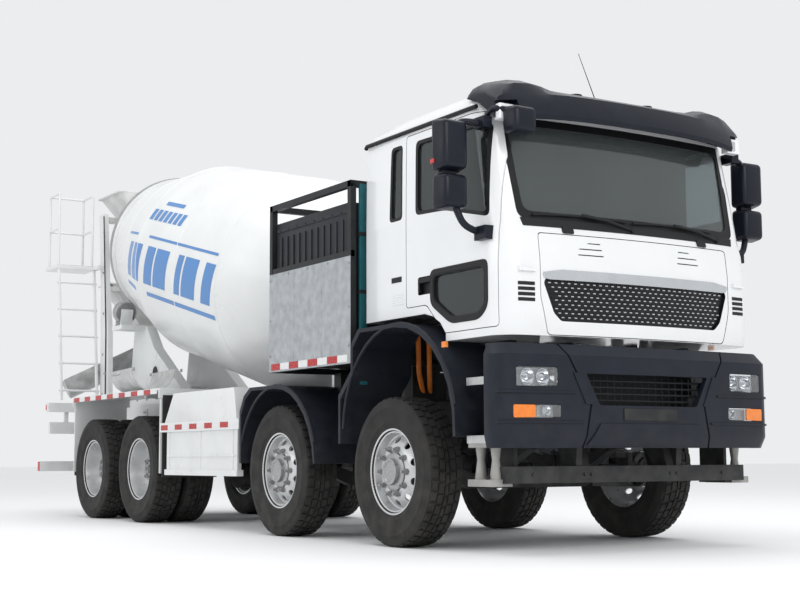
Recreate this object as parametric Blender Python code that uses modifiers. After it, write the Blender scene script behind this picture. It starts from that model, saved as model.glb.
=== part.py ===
"""Concrete mixer truck: a cab-over 8x4 chassis with a tilting cab and a turning drum.

Frame: +X is forward, +Y the truck's left, +Z up, the ground is Z = 0 and the origin is the
middle of the outline on the ground. Run it with: blender --background --python part.py
"""

from math import asin, cos, degrees, pi, radians, sin

import bmesh
import bpy
from mathutils import Matrix, Vector

# ---------------------------------------------------------------- driving sizes (metres)

FRONT_OVERHANG = 1.43
AXLE_GAP_12 = 1.80
AXLE_GAP_23 = 3.15
AXLE_GAP_34 = 1.35
REAR_OVERHANG = 1.97
HALF_WIDTH = 1.25

TYRE_RADIUS = 0.541
TYRE_WIDTH = 0.30
RIM_RADIUS = 0.302
TWIN_GAP = 0.045
TYRE_OUTER_Y = 1.235
WHEEL_SIDES = 20

FRAME_TOP = 1.08
RAIL_HEIGHT = 0.28
RAIL_FLANGE = 0.08
RAIL_OUTER_Y = 0.43
SUBFRAME_HEIGHT = 0.20

CAB_HALF_WIDTH = 1.15
CAB_BOTTOM = 1.446
CAB_WALL = 0.06
DOOR_GAP = 0.008

DRUM_TILT = radians(13.4)
DRUM_RADIUS = 1.075
DRUM_WALL = 0.02
RING_RADIUS = 0.86
ROLLER_RADIUS = 0.13

SEAT_GAP = 0.0003
PIN_GAP = 0.0008

# ---------------------------------------------------------------- places along the truck

LENGTH = FRONT_OVERHANG + AXLE_GAP_12 + AXLE_GAP_23 + AXLE_GAP_34 + REAR_OVERHANG
AXLE_1 = LENGTH / 2 - FRONT_OVERHANG
AXLE_2 = AXLE_1 - AXLE_GAP_12
AXLE_3 = AXLE_2 - AXLE_GAP_23
AXLE_4 = AXLE_3 - AXLE_GAP_34
TANDEM = (AXLE_3 + AXLE_4) / 2
REAR_END = -LENGTH / 2
SIDES = {"right": -1, "left": 1}

FRAME_BOTTOM = FRAME_TOP - RAIL_HEIGHT
SUBFRAME_TOP = FRAME_TOP + SEAT_GAP + SUBFRAME_HEIGHT

# ---------------------------------------------------------------- scene and materials

for old in list(bpy.data.objects):
    bpy.data.objects.remove(old, do_unlink=True)

truck = bpy.data.collections.new("concrete_mixer_truck")
bpy.context.scene.collection.children.link(truck)
bench = bpy.data.collections.new("workbench")
bpy.context.scene.collection.children.link(bench)


def paint(name, colour, roughness, metallic=0.0):
    material = bpy.data.materials.new(name)
    material.use_nodes = True
    shader = material.node_tree.nodes["Principled BSDF"]
    shader.inputs["Base Color"].default_value = (*colour, 1)
    shader.inputs["Roughness"].default_value = roughness
    shader.inputs["Metallic"].default_value = metallic
    return material


WHITE = paint("white_paint", (0.80, 0.80, 0.78), 0.35)
CHARCOAL = paint("charcoal_plastic", (0.045, 0.05, 0.065), 0.55)
BLACK = paint("black_paint", (0.02, 0.02, 0.022), 0.5)
GREY = paint("grey_paint", (0.42, 0.44, 0.46), 0.5)
STEEL = paint("cast_steel", (0.30, 0.30, 0.30), 0.6, 0.7)
RUBBER = paint("tyre_rubber", (0.02, 0.02, 0.02), 0.85)
GLASS = paint("window_glass", (0.10, 0.12, 0.13), 0.05)
CLOTH = paint("seat_cloth", (0.10, 0.10, 0.11), 0.9)

# ---------------------------------------------------------------- shape helpers


def stock(mesh, matrix=Matrix()):
    """A loose solid on the workbench, ready to be joined or cut."""
    mesh.transform(matrix)
    solid = bpy.data.objects.new("stock", mesh)
    bench.objects.link(solid)
    return solid


def from_bmesh(bm, matrix=Matrix()):
    mesh = bpy.data.meshes.new("stock")
    bmesh.ops.recalc_face_normals(bm, faces=bm.faces)
    bm.to_mesh(mesh)
    bm.free()
    return stock(mesh, matrix)


def from_object(maker, matrix=Matrix()):
    """The evaluated mesh of a curve or of an object with modifiers, welded."""
    bench.objects.link(maker)
    graph = bpy.context.evaluated_depsgraph_get()
    mesh = bpy.data.meshes.new_from_object(maker.evaluated_get(graph))
    bpy.data.objects.remove(maker, do_unlink=True)
    bm = bmesh.new()
    bm.from_mesh(mesh)
    bmesh.ops.remove_doubles(bm, verts=bm.verts, dist=0.00001)
    bm.to_mesh(mesh)
    bm.free()
    return stock(mesh, matrix)


def block(x, y, z, bevel=0.0):
    """A box from three (low, high) pairs."""
    bm = bmesh.new()
    bmesh.ops.create_cube(bm, size=1)
    sizes = Vector((x[1] - x[0], y[1] - y[0], z[1] - z[0]))
    centre = Vector((x[1] + x[0], y[1] + y[0], z[1] + z[0])) / 2
    bmesh.ops.scale(bm, vec=sizes, verts=bm.verts)
    bmesh.ops.translate(bm, vec=centre, verts=bm.verts)
    if bevel:
        bmesh.ops.bevel(bm, geom=bm.edges[:], offset=bevel, segments=2, affect="EDGES", profile=0.5)
    return from_bmesh(bm)


AXIS_TURN = {
    "X": Matrix.Rotation(pi / 2, 4, "Y"),
    "Y": Matrix.Rotation(-pi / 2, 4, "X"),
    "Z": Matrix(),
}


def rod(centre, axis, radius, length, sides=16, end_radius=None):
    """A cylinder or cone about a named axis, or about a direction, by its middle."""
    bm = bmesh.new()
    bmesh.ops.create_cone(
        bm, cap_ends=True, segments=sides, radius1=radius,
        radius2=radius if end_radius is None else end_radius, depth=length,
    )
    turn = AXIS_TURN[axis] if isinstance(axis, str) else direction_turn(axis)
    return from_bmesh(bm, Matrix.Translation(centre) @ turn @ Matrix.Rotation(pi / sides, 4, "Z"))


def direction_turn(direction):
    return Vector(direction).to_track_quat("Z", "Y").to_matrix().to_4x4()


def bar(start, end, radius, sides=6):
    start, end = Vector(start), Vector(end)
    return rod((start + end) / 2, end - start, radius, (end - start).length, sides)


def plate(outline, low, high, plane="XZ"):
    """A flat outline given a thickness from low to high along the plane's normal."""
    curve = bpy.data.curves.new("outline", "CURVE")
    curve.dimensions = "2D"
    curve.fill_mode = "BOTH"
    curve.extrude = (high - low) / 2
    spline = curve.splines.new("POLY")
    spline.points.add(len(outline) - 1)
    for point, (a, b) in zip(spline.points, outline):
        point.co = (a, b, 0, 1)
    spline.use_cyclic_u = True
    middle = (high + low) / 2
    # The curve's own X, Y and Z go to the plane's two axes and its normal.
    rows = {
        "XZ": ((1, 0, 0, 0), (0, 0, 1, middle), (0, 1, 0, 0), (0, 0, 0, 1)),
        "YZ": ((0, 0, 1, middle), (1, 0, 0, 0), (0, 1, 0, 0), (0, 0, 0, 1)),
        "XY": ((1, 0, 0, 0), (0, 1, 0, 0), (0, 0, 1, middle), (0, 0, 0, 1)),
    }[plane]
    solid = from_object(bpy.data.objects.new("outline", curve), Matrix(rows))
    face_out(solid, flat=True)
    return solid


def face_out(solid, flat=False):
    """Turns the faces outwards. Flat joins the triangles of level faces into one face each."""
    bm = bmesh.new()
    bm.from_mesh(solid.data)
    if flat:
        bmesh.ops.dissolve_limit(bm, angle_limit=radians(0.1), verts=bm.verts, edges=bm.edges)
    bmesh.ops.recalc_face_normals(bm, faces=bm.faces)
    bm.to_mesh(solid.data)
    bm.free()


def tube(points, radius, closed=False, resolution=1):
    """A bent round tube through the points."""
    curve = bpy.data.curves.new("tube", "CURVE")
    curve.dimensions = "3D"
    curve.bevel_depth = radius
    curve.bevel_resolution = resolution
    curve.use_fill_caps = True
    spline = curve.splines.new("POLY")
    spline.points.add(len(points) - 1)
    for point, place in zip(spline.points, points):
        point.co = (*place, 1)
    spline.use_cyclic_u = closed
    solid = from_object(bpy.data.objects.new("tube", curve))
    face_out(solid)
    return solid


def turned(profile, matrix=Matrix(), steps=WHEEL_SIDES, closed=False):
    """A profile of (radius, height) turned about Z. Flats, not corners, face the four axes."""
    mesh = bpy.data.meshes.new("profile")
    edges = [(i, i + 1) for i in range(len(profile) - 1)]
    if closed:
        edges.append((len(profile) - 1, 0))
    grow = 1 / cos(pi / steps)
    mesh.from_pydata([(r * grow, 0, z) for r, z in profile], edges, [])
    maker = bpy.data.objects.new("profile", mesh)
    screw = maker.modifiers.new("turn", "SCREW")
    screw.steps = screw.render_steps = steps
    screw.use_merge_vertices = True
    screw.merge_threshold = 0.0001
    solid = from_object(maker, matrix @ Matrix.Rotation(pi / steps, 4, "Z"))
    face_out(solid)
    return solid


def fuse(base, adds=(), cuts=(), keeps=()):
    """Joins the adds to the base, keeps what lies in the keeps, then takes the cuts away."""
    for operation, operands in (("UNION", adds), ("INTERSECT", keeps), ("DIFFERENCE", cuts)):
        for operand in operands:
            step = base.modifiers.new(operation, "BOOLEAN")
            step.operation = operation
            step.use_self = operation == "UNION"
            step.object = operand
    graph = bpy.context.evaluated_depsgraph_get()
    mesh = bpy.data.meshes.new_from_object(base.evaluated_get(graph))
    for used in (base, *adds, *keeps, *cuts):
        bpy.data.objects.remove(used, do_unlink=True)
    return stock(mesh)


def piece(name, solid, material, parent=None):
    """Names a finished solid, puts its origin on its parent's and files it."""
    solid.name = name
    bench.objects.unlink(solid)
    truck.objects.link(solid)
    solid.data.name = name
    solid.data.materials.clear()
    solid.data.materials.append(material)
    solid.data.shade_smooth()
    solid.data.set_sharp_from_angle(angle=radians(35))
    if parent:
        solid.data.transform(Matrix.Translation(-parent.matrix_world.translation))
        solid.parent = parent
    return solid


def pivot(name, place, parent=None):
    """An empty on a joint's axis, which its moving pieces hang on."""
    empty = bpy.data.objects.new(name, None)
    empty.empty_display_size = 0.2
    truck.objects.link(empty)
    origin = parent.matrix_world.translation if parent else Vector()
    empty.parent = parent
    empty.location = Vector(place) - origin
    bpy.context.view_layer.update()
    return empty


def arc(centre, radius, start, end, steps):
    """Points of a circle from one angle to another, in degrees."""
    angles = (radians(start + (end - start) * i / steps) for i in range(steps + 1))
    return [(centre[0] + radius * cos(a), centre[1] + radius * sin(a)) for a in angles]


def reach(low, high, side):
    """A (low, high) pair of distances from the middle, on the truck's right or left."""
    return (low, high) if side > 0 else (-high, -low)


# ---------------------------------------------------------------- chassis frame

FRAME_FRONT = AXLE_1 + 1.12
FRAME_REAR = AXLE_4 - 1.55
FRAME_WEB = 0.02


def build_frame():
    """Two C-section rails, open inwards, joined by box cross members."""
    shapes = []
    for side in SIDES.values():
        rail = block((FRAME_REAR, FRAME_FRONT), reach(RAIL_OUTER_Y - RAIL_FLANGE, RAIL_OUTER_Y, side),
                     (FRAME_BOTTOM, FRAME_TOP))
        hollow = block((FRAME_REAR - 0.01, FRAME_FRONT + 0.01),
                       reach(RAIL_OUTER_Y - RAIL_FLANGE - 0.01, RAIL_OUTER_Y - FRAME_WEB, side),
                       (FRAME_BOTTOM + FRAME_WEB, FRAME_TOP - FRAME_WEB))
        shapes.append(fuse(rail, cuts=[hollow]))
    stations = (FRAME_FRONT - 0.08, AXLE_1 - 0.75, AXLE_2 - 0.62, (AXLE_2 + AXLE_3) / 2 - 0.45,
                AXLE_3 + 0.75, TANDEM, AXLE_4 - 0.75, FRAME_REAR + 0.08)
    for x in stations:
        shapes.append(block((x - 0.06, x + 0.06),
                            (FRAME_WEB / 2 - RAIL_OUTER_Y, RAIL_OUTER_Y - FRAME_WEB / 2),
                            (FRAME_BOTTOM + 0.06, FRAME_TOP - 0.06)))
    piece("chassis_frame", fuse(shapes[0], shapes[1:]), BLACK)


# ---------------------------------------------------------------- steered axles

KINGPIN_Y = 0.90
FRONT_WHEEL_Y = TYRE_OUTER_Y - TYRE_WIDTH / 2
BOSS_RADIUS = 0.055
BOSS_HALF = 0.09
PIN_RADIUS = 0.022
ARM_THICK = 0.045
SPRING_Y = RAIL_OUTER_Y - RAIL_FLANGE / 2
SPRING_HALF = 0.62
SPRING_THICK = 0.10
SPRING_TOP = FRAME_BOTTOM - 0.06


def build_front_axle(name, x):
    """A dropped beam with a boss and kingpin at each end, under two leaf springs on hangers."""
    hub = TYRE_RADIUS
    half = [(0.55, hub - 0.13), (0.74, hub - 0.045), (KINGPIN_Y, hub - 0.045),
            (KINGPIN_Y, hub + 0.045), (0.72, hub + 0.045), (0.52, hub - 0.02)]
    outline = half + [(-y, z) for y, z in reversed(half)]
    shapes = [plate(outline, x - 0.05, x + 0.05, "YZ")]
    for side in SIDES.values():
        y = side * KINGPIN_Y
        shapes.append(rod((x, y, hub), "Z", BOSS_RADIUS, 2 * BOSS_HALF))
        shapes.append(rod((x, y, hub), "Z", PIN_RADIUS, 2 * (BOSS_HALF + ARM_THICK), 12))
        spring_y = reach(SPRING_Y - 0.045, SPRING_Y + 0.045, side)
        camber = 0.08
        leaf = [(x + SPRING_HALF, SPRING_TOP), (x + 0.25, SPRING_TOP - camber),
                (x - 0.25, SPRING_TOP - camber), (x - SPRING_HALF, SPRING_TOP),
                (x - SPRING_HALF, SPRING_TOP - 0.03), (x - 0.30, SPRING_TOP - camber - SPRING_THICK),
                (x + 0.30, SPRING_TOP - camber - SPRING_THICK), (x + SPRING_HALF, SPRING_TOP - 0.03)]
        shapes.append(plate(leaf, *spring_y))
        inside_y = reach(SPRING_Y - 0.042, SPRING_Y + 0.042, side)
        shapes.append(block((x - 0.10, x + 0.10), inside_y, (hub - 0.05, SPRING_TOP - camber - 0.05)))
        for end in (-1, 1):
            at = x + end * (SPRING_HALF - 0.03)
            shapes.append(block((at - 0.05, at + 0.05), inside_y,
                                (SPRING_TOP - 0.04, FRAME_BOTTOM - SEAT_GAP)))
    piece(name, fuse(shapes[0], shapes[1:]), BLACK)


def build_knuckle(name, x, side, parent):
    """A fork above and below the kingpin boss, with the stub axle on its outer side."""
    hub = TYRE_RADIUS
    y = side * KINGPIN_Y
    low = BOSS_HALF + 0.005
    high = BOSS_HALF + ARM_THICK
    post = (KINGPIN_Y + BOSS_RADIUS + 0.012, KINGPIN_Y + BOSS_RADIUS + 0.05)
    base = block((x - 0.08, x + 0.08), reach(*post, side), (hub - high, hub + high))
    adds = []
    for z in (hub - high, hub + low):
        adds.append(block((x - 0.055, x + 0.055), reach(KINGPIN_Y - 0.045, post[1] - 0.01, side),
                          (z, z + high - low)))
    hub_face = FRONT_WHEEL_Y - TYRE_WIDTH / 2 + HUB_FACE - PIN_GAP
    spindle = (post[1] - 0.02, hub_face)
    adds.append(rod((x, side * sum(spindle) / 2, hub), "Y", 0.075, spindle[1] - spindle[0]))
    adds.append(block((x - 0.24, x - 0.04), reach(KINGPIN_Y - 0.045, KINGPIN_Y - 0.005, side),
                      (hub - high, hub - high + 0.04)))
    bores = [rod((x, y, hub), "Z", PIN_RADIUS + PIN_GAP, 4 * high, 12)]
    piece(name, fuse(base, adds, bores), STEEL, parent)


# ---------------------------------------------------------------- wheels

HUB_FACE = 0.13
TREAD_SHOULDER = 0.045


def tyre_profile(low, high):
    """Outer (radius, height) points of a tyre from its top side to its bottom side."""
    r = TYRE_RADIUS
    return [
        (RIM_RADIUS - 0.012, high - 0.03), (r - 0.09, high), (r, high - TREAD_SHOULDER),
        (r, low + TREAD_SHOULDER), (r - 0.09, low), (RIM_RADIUS - 0.012, low + 0.03),
    ]


def build_front_wheel(name, x, side, parent):
    """Tyre on a disc wheel whose disc bulges outwards, with the hub in its middle."""
    half = TYRE_WIDTH / 2
    disc = half - 0.05
    profile = (
        [(0, disc + 0.055), (0.085, disc + 0.055), (0.085, disc + 0.03), (0.15, disc + 0.03),
         (RIM_RADIUS - 0.03, disc - 0.03)]
        + tyre_profile(-half, half)
        + [(RIM_RADIUS - 0.035, disc - 0.10), (0.15, disc), (0.11, disc - 0.02),
           (0.11, HUB_FACE - half), (0, HUB_FACE - half)]
    )
    turn = Matrix.Rotation(-side * pi / 2, 4, "X")
    solid = turned(profile, Matrix.Translation((x, side * FRONT_WHEEL_Y, TYRE_RADIUS)) @ turn)
    piece(name, solid, RUBBER, parent)


def build_twin_wheel(name, x, side, parent):
    """Two tyres on back-to-back disc wheels. The outer one is a deep dish, the hub stands out of it."""
    half = TYRE_WIDTH / 2
    step = TYRE_WIDTH + TWIN_GAP
    outer = tyre_profile(-half, half)
    inner = tyre_profile(-half - step, half - step)
    disc = -step / 2
    profile = (
        [(0, disc + 0.17), (0.09, disc + 0.17), (0.11, disc + 0.02), (0.22, disc + 0.02),
         (RIM_RADIUS - 0.035, disc + 0.12)]
        + outer
        + [(RIM_RADIUS - 0.03, disc + 0.03), (RIM_RADIUS - 0.03, disc - 0.03)]
        + inner
        + [(RIM_RADIUS - 0.035, disc - 0.12), (0.22, disc - 0.02), (0.14, disc - 0.02),
           (0.14, disc - 0.06), (0, disc - 0.06)]
    )
    centre = side * (TYRE_OUTER_Y - half)
    turn = Matrix.Rotation(-side * pi / 2, 4, "X")
    solid = turned(profile, Matrix.Translation((x, centre, TYRE_RADIUS)) @ turn)
    piece(name, solid, RUBBER, parent)


# ---------------------------------------------------------------- driven axles

TWIN_CENTRE_Y = TYRE_OUTER_Y - TYRE_WIDTH - TWIN_GAP / 2
REAR_SPRING_Y = TYRE_OUTER_Y - 2 * TYRE_WIDTH - TWIN_GAP - 0.09


def build_rear_axle(name, x, pinion):
    """Axle housing with the final drive's bowl in the middle and a flange at each end."""
    hub = TYRE_RADIUS
    end = TWIN_CENTRE_Y - 0.06 - PIN_GAP
    shapes = [rod((x, 0, hub), "Y", 0.075, 2 * end, 12)]
    shapes.append(rod((x, 0, hub), "Y", 0.21, 0.20, 16))
    shapes.append(rod((x + pinion * 0.20, 0, hub + 0.02), "X", 0.10, 0.22, 12))
    for side in SIDES.values():
        shapes.append(rod((x, side * (end - 0.05), hub), "Y", 0.12, 0.10, 16))
        shapes.append(block((x - 0.09, x + 0.09), reach(REAR_SPRING_Y - 0.05, REAR_SPRING_Y + 0.05, side),
                            (hub, hub + 0.11)))
    piece(name, fuse(shapes[0], shapes[1:]), BLACK)


def build_rear_springs():
    """Two leaf packs over the pair of axles, carried in the middle by a cross shaft on brackets."""
    hub = TYRE_RADIUS
    ends = hub + 0.11 + SEAT_GAP
    half = AXLE_GAP_34 / 2 + 0.08
    shapes = [rod((TANDEM, 0, hub + 0.03), "Y", 0.06, 2 * (REAR_SPRING_Y + 0.045), 12)]
    for side in SIDES.values():
        leaf = [(TANDEM + half, ends), (TANDEM + half, ends + 0.03), (TANDEM + 0.2, ends + 0.13),
                (TANDEM - 0.2, ends + 0.13), (TANDEM - half, ends + 0.03), (TANDEM - half, ends),
                (TANDEM - half + 0.20, ends), (TANDEM - 0.25, ends - 0.03), (TANDEM + 0.25, ends - 0.03),
                (TANDEM + half - 0.20, ends)]
        shapes.append(plate(leaf, *reach(REAR_SPRING_Y - 0.045, REAR_SPRING_Y + 0.045, side)))
        shapes.append(block((TANDEM - 0.10, TANDEM + 0.10),
                            reach(REAR_SPRING_Y - 0.042, REAR_SPRING_Y + 0.042, side),
                            (hub - 0.03, ends)))
        shapes.append(block((TANDEM - 0.12, TANDEM + 0.12),
                            reach(RAIL_OUTER_Y - RAIL_FLANGE, RAIL_OUTER_Y - 0.002, side),
                            (hub - 0.02, FRAME_BOTTOM - SEAT_GAP)))
    piece("rear_springs", fuse(shapes[0], shapes[1:]), BLACK)


# ---------------------------------------------------------------- drive line

MOTOR_X = (AXLE_2 - 1.75, AXLE_2 - 0.85)


def build_drive_line():
    """The motor and gearbox as one block between the rails, and the shaft to the first driven axle."""
    top = FRAME_TOP - 0.02
    inner = RAIL_OUTER_Y - RAIL_FLANGE - 0.001
    body = block(MOTOR_X, (-0.28, 0.28), (0.52, top))
    feet = block((MOTOR_X[0] + 0.2, MOTOR_X[1] - 0.2), (-inner, inner),
                 (FRAME_BOTTOM + 0.05, FRAME_BOTTOM + 0.15))
    nose = AXLE_3 + 0.31 + SEAT_GAP
    shaft = bar((MOTOR_X[0] + 0.05, 0, 0.72), (nose + 0.06, 0, TYRE_RADIUS + 0.03), 0.05, 12)
    flange = rod((nose + 0.03, 0, TYRE_RADIUS + 0.02), "X", 0.08, 0.06, 12)
    piece("drive_line", fuse(body, [feet, shaft, flange]), GREY)


# ---------------------------------------------------------------- battery rack behind the cab

RACK_FRONT = AXLE_1 - 0.58
RACK_REAR = AXLE_1 - 1.97
RACK_BOTTOM = 1.36
RACK_SIDE_TOP = 2.19
RACK_TOP = 2.79
RACK_HALF = 1.22
RACK_TUBE = 0.05


def build_rack():
    """A square-tube frame on outriggers over the rails, with sheet-metal panels low on its sides."""
    t = RACK_TUBE
    x0, x1 = RACK_REAR, RACK_FRONT
    outer = block((x0, x1), (-RACK_HALF, RACK_HALF), (RACK_BOTTOM, RACK_TOP))
    cuts = [
        block((x0 + t, x1 - t), (-RACK_HALF + 0.02, RACK_HALF - 0.02), (RACK_BOTTOM + t, RACK_TOP + 1)),
        block((x0 - 1, x1 + 1), (-RACK_HALF + t, RACK_HALF - t), (RACK_BOTTOM + t, RACK_TOP - t)),
        block((x0 + t, x1 - t), (-2, 2), (RACK_SIDE_TOP + t, RACK_TOP - t)),
    ]
    adds = [block((x - 0.06, x + 0.06), (-0.62, 0.62), (FRAME_TOP + SEAT_GAP, RACK_BOTTOM + 0.02))
            for x in (x0 + 0.12, x1 - 0.12)]
    piece("rack_frame", fuse(fuse(outer, cuts=cuts), adds), GREY)


def build_battery():
    """The battery and cooling pack standing in the rack."""
    t = RACK_TUBE + 0.02
    piece("battery_pack", block((RACK_REAR + t, RACK_FRONT - t), (0.03 - RACK_HALF, RACK_HALF - 0.03),
                                (RACK_BOTTOM + RACK_TUBE + SEAT_GAP, RACK_TOP - 0.16), 0.01), BLACK)


# ---------------------------------------------------------------- mixer body

DRUM_FRONT = Vector((AXLE_1 - 2.50, 0, 2.10))
DRUM_AXIS = Vector((-cos(DRUM_TILT), 0, sin(DRUM_TILT)))
DRUM_TURN = direction_turn(DRUM_AXIS)
CONE_FRONT = 0.95
MOUTH_AT = (DRUM_FRONT.x - (AXLE_4 - 1.064)) / cos(DRUM_TILT)
RING_AT = MOUTH_AT - 0.58
CONE_REAR = MOUTH_AT - 1.95
MOUTH_RADIUS = 0.60
RING_WIDTH = 0.10
ROLLER_ANGLE = radians(38)
DRUM_SIDES = 28


def on_drum(along, radius=0.0, angle=0.0):
    """A point at a distance behind the drum's front, off its axis, angle 0 straight down."""
    down = Vector((-sin(DRUM_TILT), 0, -cos(DRUM_TILT)))
    out = down * cos(angle) + Vector((0, 1, 0)) * sin(angle)
    return DRUM_FRONT + DRUM_AXIS * along + out * radius


def build_drum(parent):
    """A hollow shell: dished front head, front cone, middle, rear cone with its rolling ring, mouth."""
    w = DRUM_WALL
    r = DRUM_RADIUS
    outside = [(0, -0.06), (0.16, -0.06), (0.16, 0), (0.42, 0.02), (0.66, 0.12), (0.80, 0.28),
               (r, CONE_FRONT), (r, CONE_REAR), (RING_RADIUS - 0.04, RING_AT - RING_WIDTH / 2),
               (RING_RADIUS, RING_AT - RING_WIDTH / 2), (RING_RADIUS, RING_AT + RING_WIDTH / 2),
               (RING_RADIUS - 0.07, RING_AT + RING_WIDTH / 2),
               (MOUTH_RADIUS, MOUTH_AT)]
    inside = [(MOUTH_RADIUS - w, MOUTH_AT), (r - w, CONE_REAR), (r - w, CONE_FRONT), (0.79, 0.31),
              (0.65, 0.145), (0.42, 0.045), (0, 0.03)]
    inside.insert(1, (RING_RADIUS - 0.07 - w - 0.01, RING_AT))
    profile = list(reversed(outside + inside))
    solid = turned(profile, Matrix.Translation(DRUM_FRONT) @ DRUM_TURN, DRUM_SIDES)
    piece("drum", solid, WHITE, parent)


SUBFRAME_FRONT = AXLE_1 - 2.02
SUBFRAME_REAR = FRAME_REAR + 0.02
SUBFRAME_Y = (RAIL_OUTER_Y - 0.09, RAIL_OUTER_Y)


def build_subframe():
    """Two long beams on the chassis rails, with cross beams under the two pedestals."""
    shapes = []
    z = (FRAME_TOP + SEAT_GAP, SUBFRAME_TOP)
    for side in SIDES.values():
        shapes.append(block((SUBFRAME_REAR, SUBFRAME_FRONT), reach(*SUBFRAME_Y, side), z))
    for x in (SUBFRAME_FRONT - 0.10, AXLE_2 - 1.4, AXLE_3 + 0.4, AXLE_4 - 0.2, SUBFRAME_REAR + 0.10):
        shapes.append(block((x - 0.07, x + 0.07), (-SUBFRAME_Y[1] + 0.02, SUBFRAME_Y[1] - 0.02),
                            (z[0] + 0.03, z[1] - 0.03)))
    piece("mixer_subframe", fuse(shapes[0], shapes[1:]), WHITE)


PEDESTAL_X = AXLE_1 - 2.18


def build_front_pedestal():
    """A boxed A-frame that holds the drum's gearbox by its flange."""
    foot = SUBFRAME_TOP + SEAT_GAP
    top = DRUM_FRONT.z + 0.12
    outline = [(-0.46, foot), (0.46, foot), (0.46, foot + 0.10), (0.24, top), (-0.24, top),
               (-0.46, foot + 0.10)]
    window = [(-0.30, foot + 0.14), (0.30, foot + 0.14), (0.20, foot + 0.42), (-0.20, foot + 0.42)]
    base = plate(outline, PEDESTAL_X - 0.06, PEDESTAL_X + 0.06, "YZ")
    bore = rod(on_drum(-0.30), DRUM_AXIS, 0.15 + PIN_GAP, 0.6, 24)
    opening = plate(window, PEDESTAL_X - 1, PEDESTAL_X + 1, "YZ")
    piece("front_pedestal", fuse(base, cuts=[opening, bore]), WHITE)


def build_drum_gearbox():
    """The gearbox and its motor, from the pedestal to just short of the drum's flange."""
    near = -0.06 - SEAT_GAP
    body = rod(on_drum(near - 0.21), DRUM_AXIS, 0.15, 0.42, 24)
    flange = rod(on_drum(near - 0.05), DRUM_AXIS, 0.19, 0.10, 24)
    piece("drum_gearbox", fuse(body, [flange]), STEEL)


ROLLER_HALF = 0.06
ROLLER_SIDES = 20
SHAFT_RADIUS = 0.035
SHAFT_GAP = 0.00095


def roller_centre(side):
    corners = RING_RADIUS / cos(pi / DRUM_SIDES) + ROLLER_RADIUS / cos(pi / ROLLER_SIDES)
    return on_drum(RING_AT, corners + PIN_GAP, side * ROLLER_ANGLE)


def build_roller(name, side, parent):
    solid = turned(
        [(0, ROLLER_HALF), (ROLLER_RADIUS, ROLLER_HALF), (ROLLER_RADIUS, -ROLLER_HALF), (0, -ROLLER_HALF)],
        Matrix.Translation(roller_centre(side)) @ DRUM_TURN, ROLLER_SIDES)
    bore = rod(roller_centre(side), DRUM_AXIS, SHAFT_RADIUS + SHAFT_GAP, 0.4, 16)
    piece(name, fuse(solid, cuts=[bore]), STEEL, parent)


REAR_LEG_Y = 0.62


def build_rear_pedestal():
    """Side plates that hold the roller shafts, legs down to the subframe and a tie between them."""
    foot = SUBFRAME_TOP + SEAT_GAP
    shapes = []
    for side in SIDES.values():
        c = roller_centre(side)
        y = reach(0.30, 0.42, side)
        base_x = (c.x - 0.28, c.x + 1.35)
        head = c.z - ROLLER_RADIUS - 0.03
        outline = [(base_x[0], foot), (base_x[1], foot), (base_x[1], foot + 0.08), (c.x + 0.45, head - 0.28),
                   (c.x + 0.20, head), (c.x - 0.16, head), (c.x - 0.28, foot + 0.25)]
        shapes.append(plate(outline, *y))
        shapes.append(block((c.x - 0.14, c.x + 0.18), reach(0.34, abs(c.y) + 0.10, side),
                            (head - 0.05, head)))
        for end in (-1, 1):
            cheek = block((-0.07, 0.07), (-ROLLER_RADIUS - 0.07, 0.05),
                          reach(ROLLER_HALF + 0.010, ROLLER_HALF + 0.032, end))
            cheek.data.transform(Matrix.Translation(c) @ DRUM_TURN)
            shapes.append(cheek)
        shapes.append(rod(c, DRUM_AXIS, SHAFT_RADIUS, 2 * (ROLLER_HALF + 0.04), 16))
    shapes.append(block((c.x - 0.14, c.x + 0.16), (-0.36, 0.36), (foot + 0.10, foot + 0.22)))
    piece("rear_pedestal", fuse(shapes[0], shapes[1:]), WHITE)


# ---------------------------------------------------------------- charging and discharge end

TOWER_X = (AXLE_4 - 1.38, AXLE_4 - 1.22)
TOWER_Y = (0.60, 0.66)
HOPPER_TOP = 3.88
HOPPER_X = (AXLE_4 - 1.72, AXLE_4 - 0.97)
HOPPER_WALL = 0.015
PLATFORM_TOP = 2.99


CHUTE_POST = Vector((AXLE_4 - 1.47, 0, 0))
POST_RADIUS = 0.045
SOCKET_TOP = SUBFRAME_TOP + 0.26
CHUTE_AZIMUTH = radians(75)
CHUTE_SLOPE = radians(26)
CHUTE_RADIUS = 0.24
CHUTE_LENGTH = 1.22
ARM_Z = (SOCKET_TOP + PIN_GAP, SOCKET_TOP + 0.07)
CHUTE_PIN_X = 0.08
CHUTE_PIN_Z = 2.06
CHUTE_PIN_RADIUS = 0.02


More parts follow.
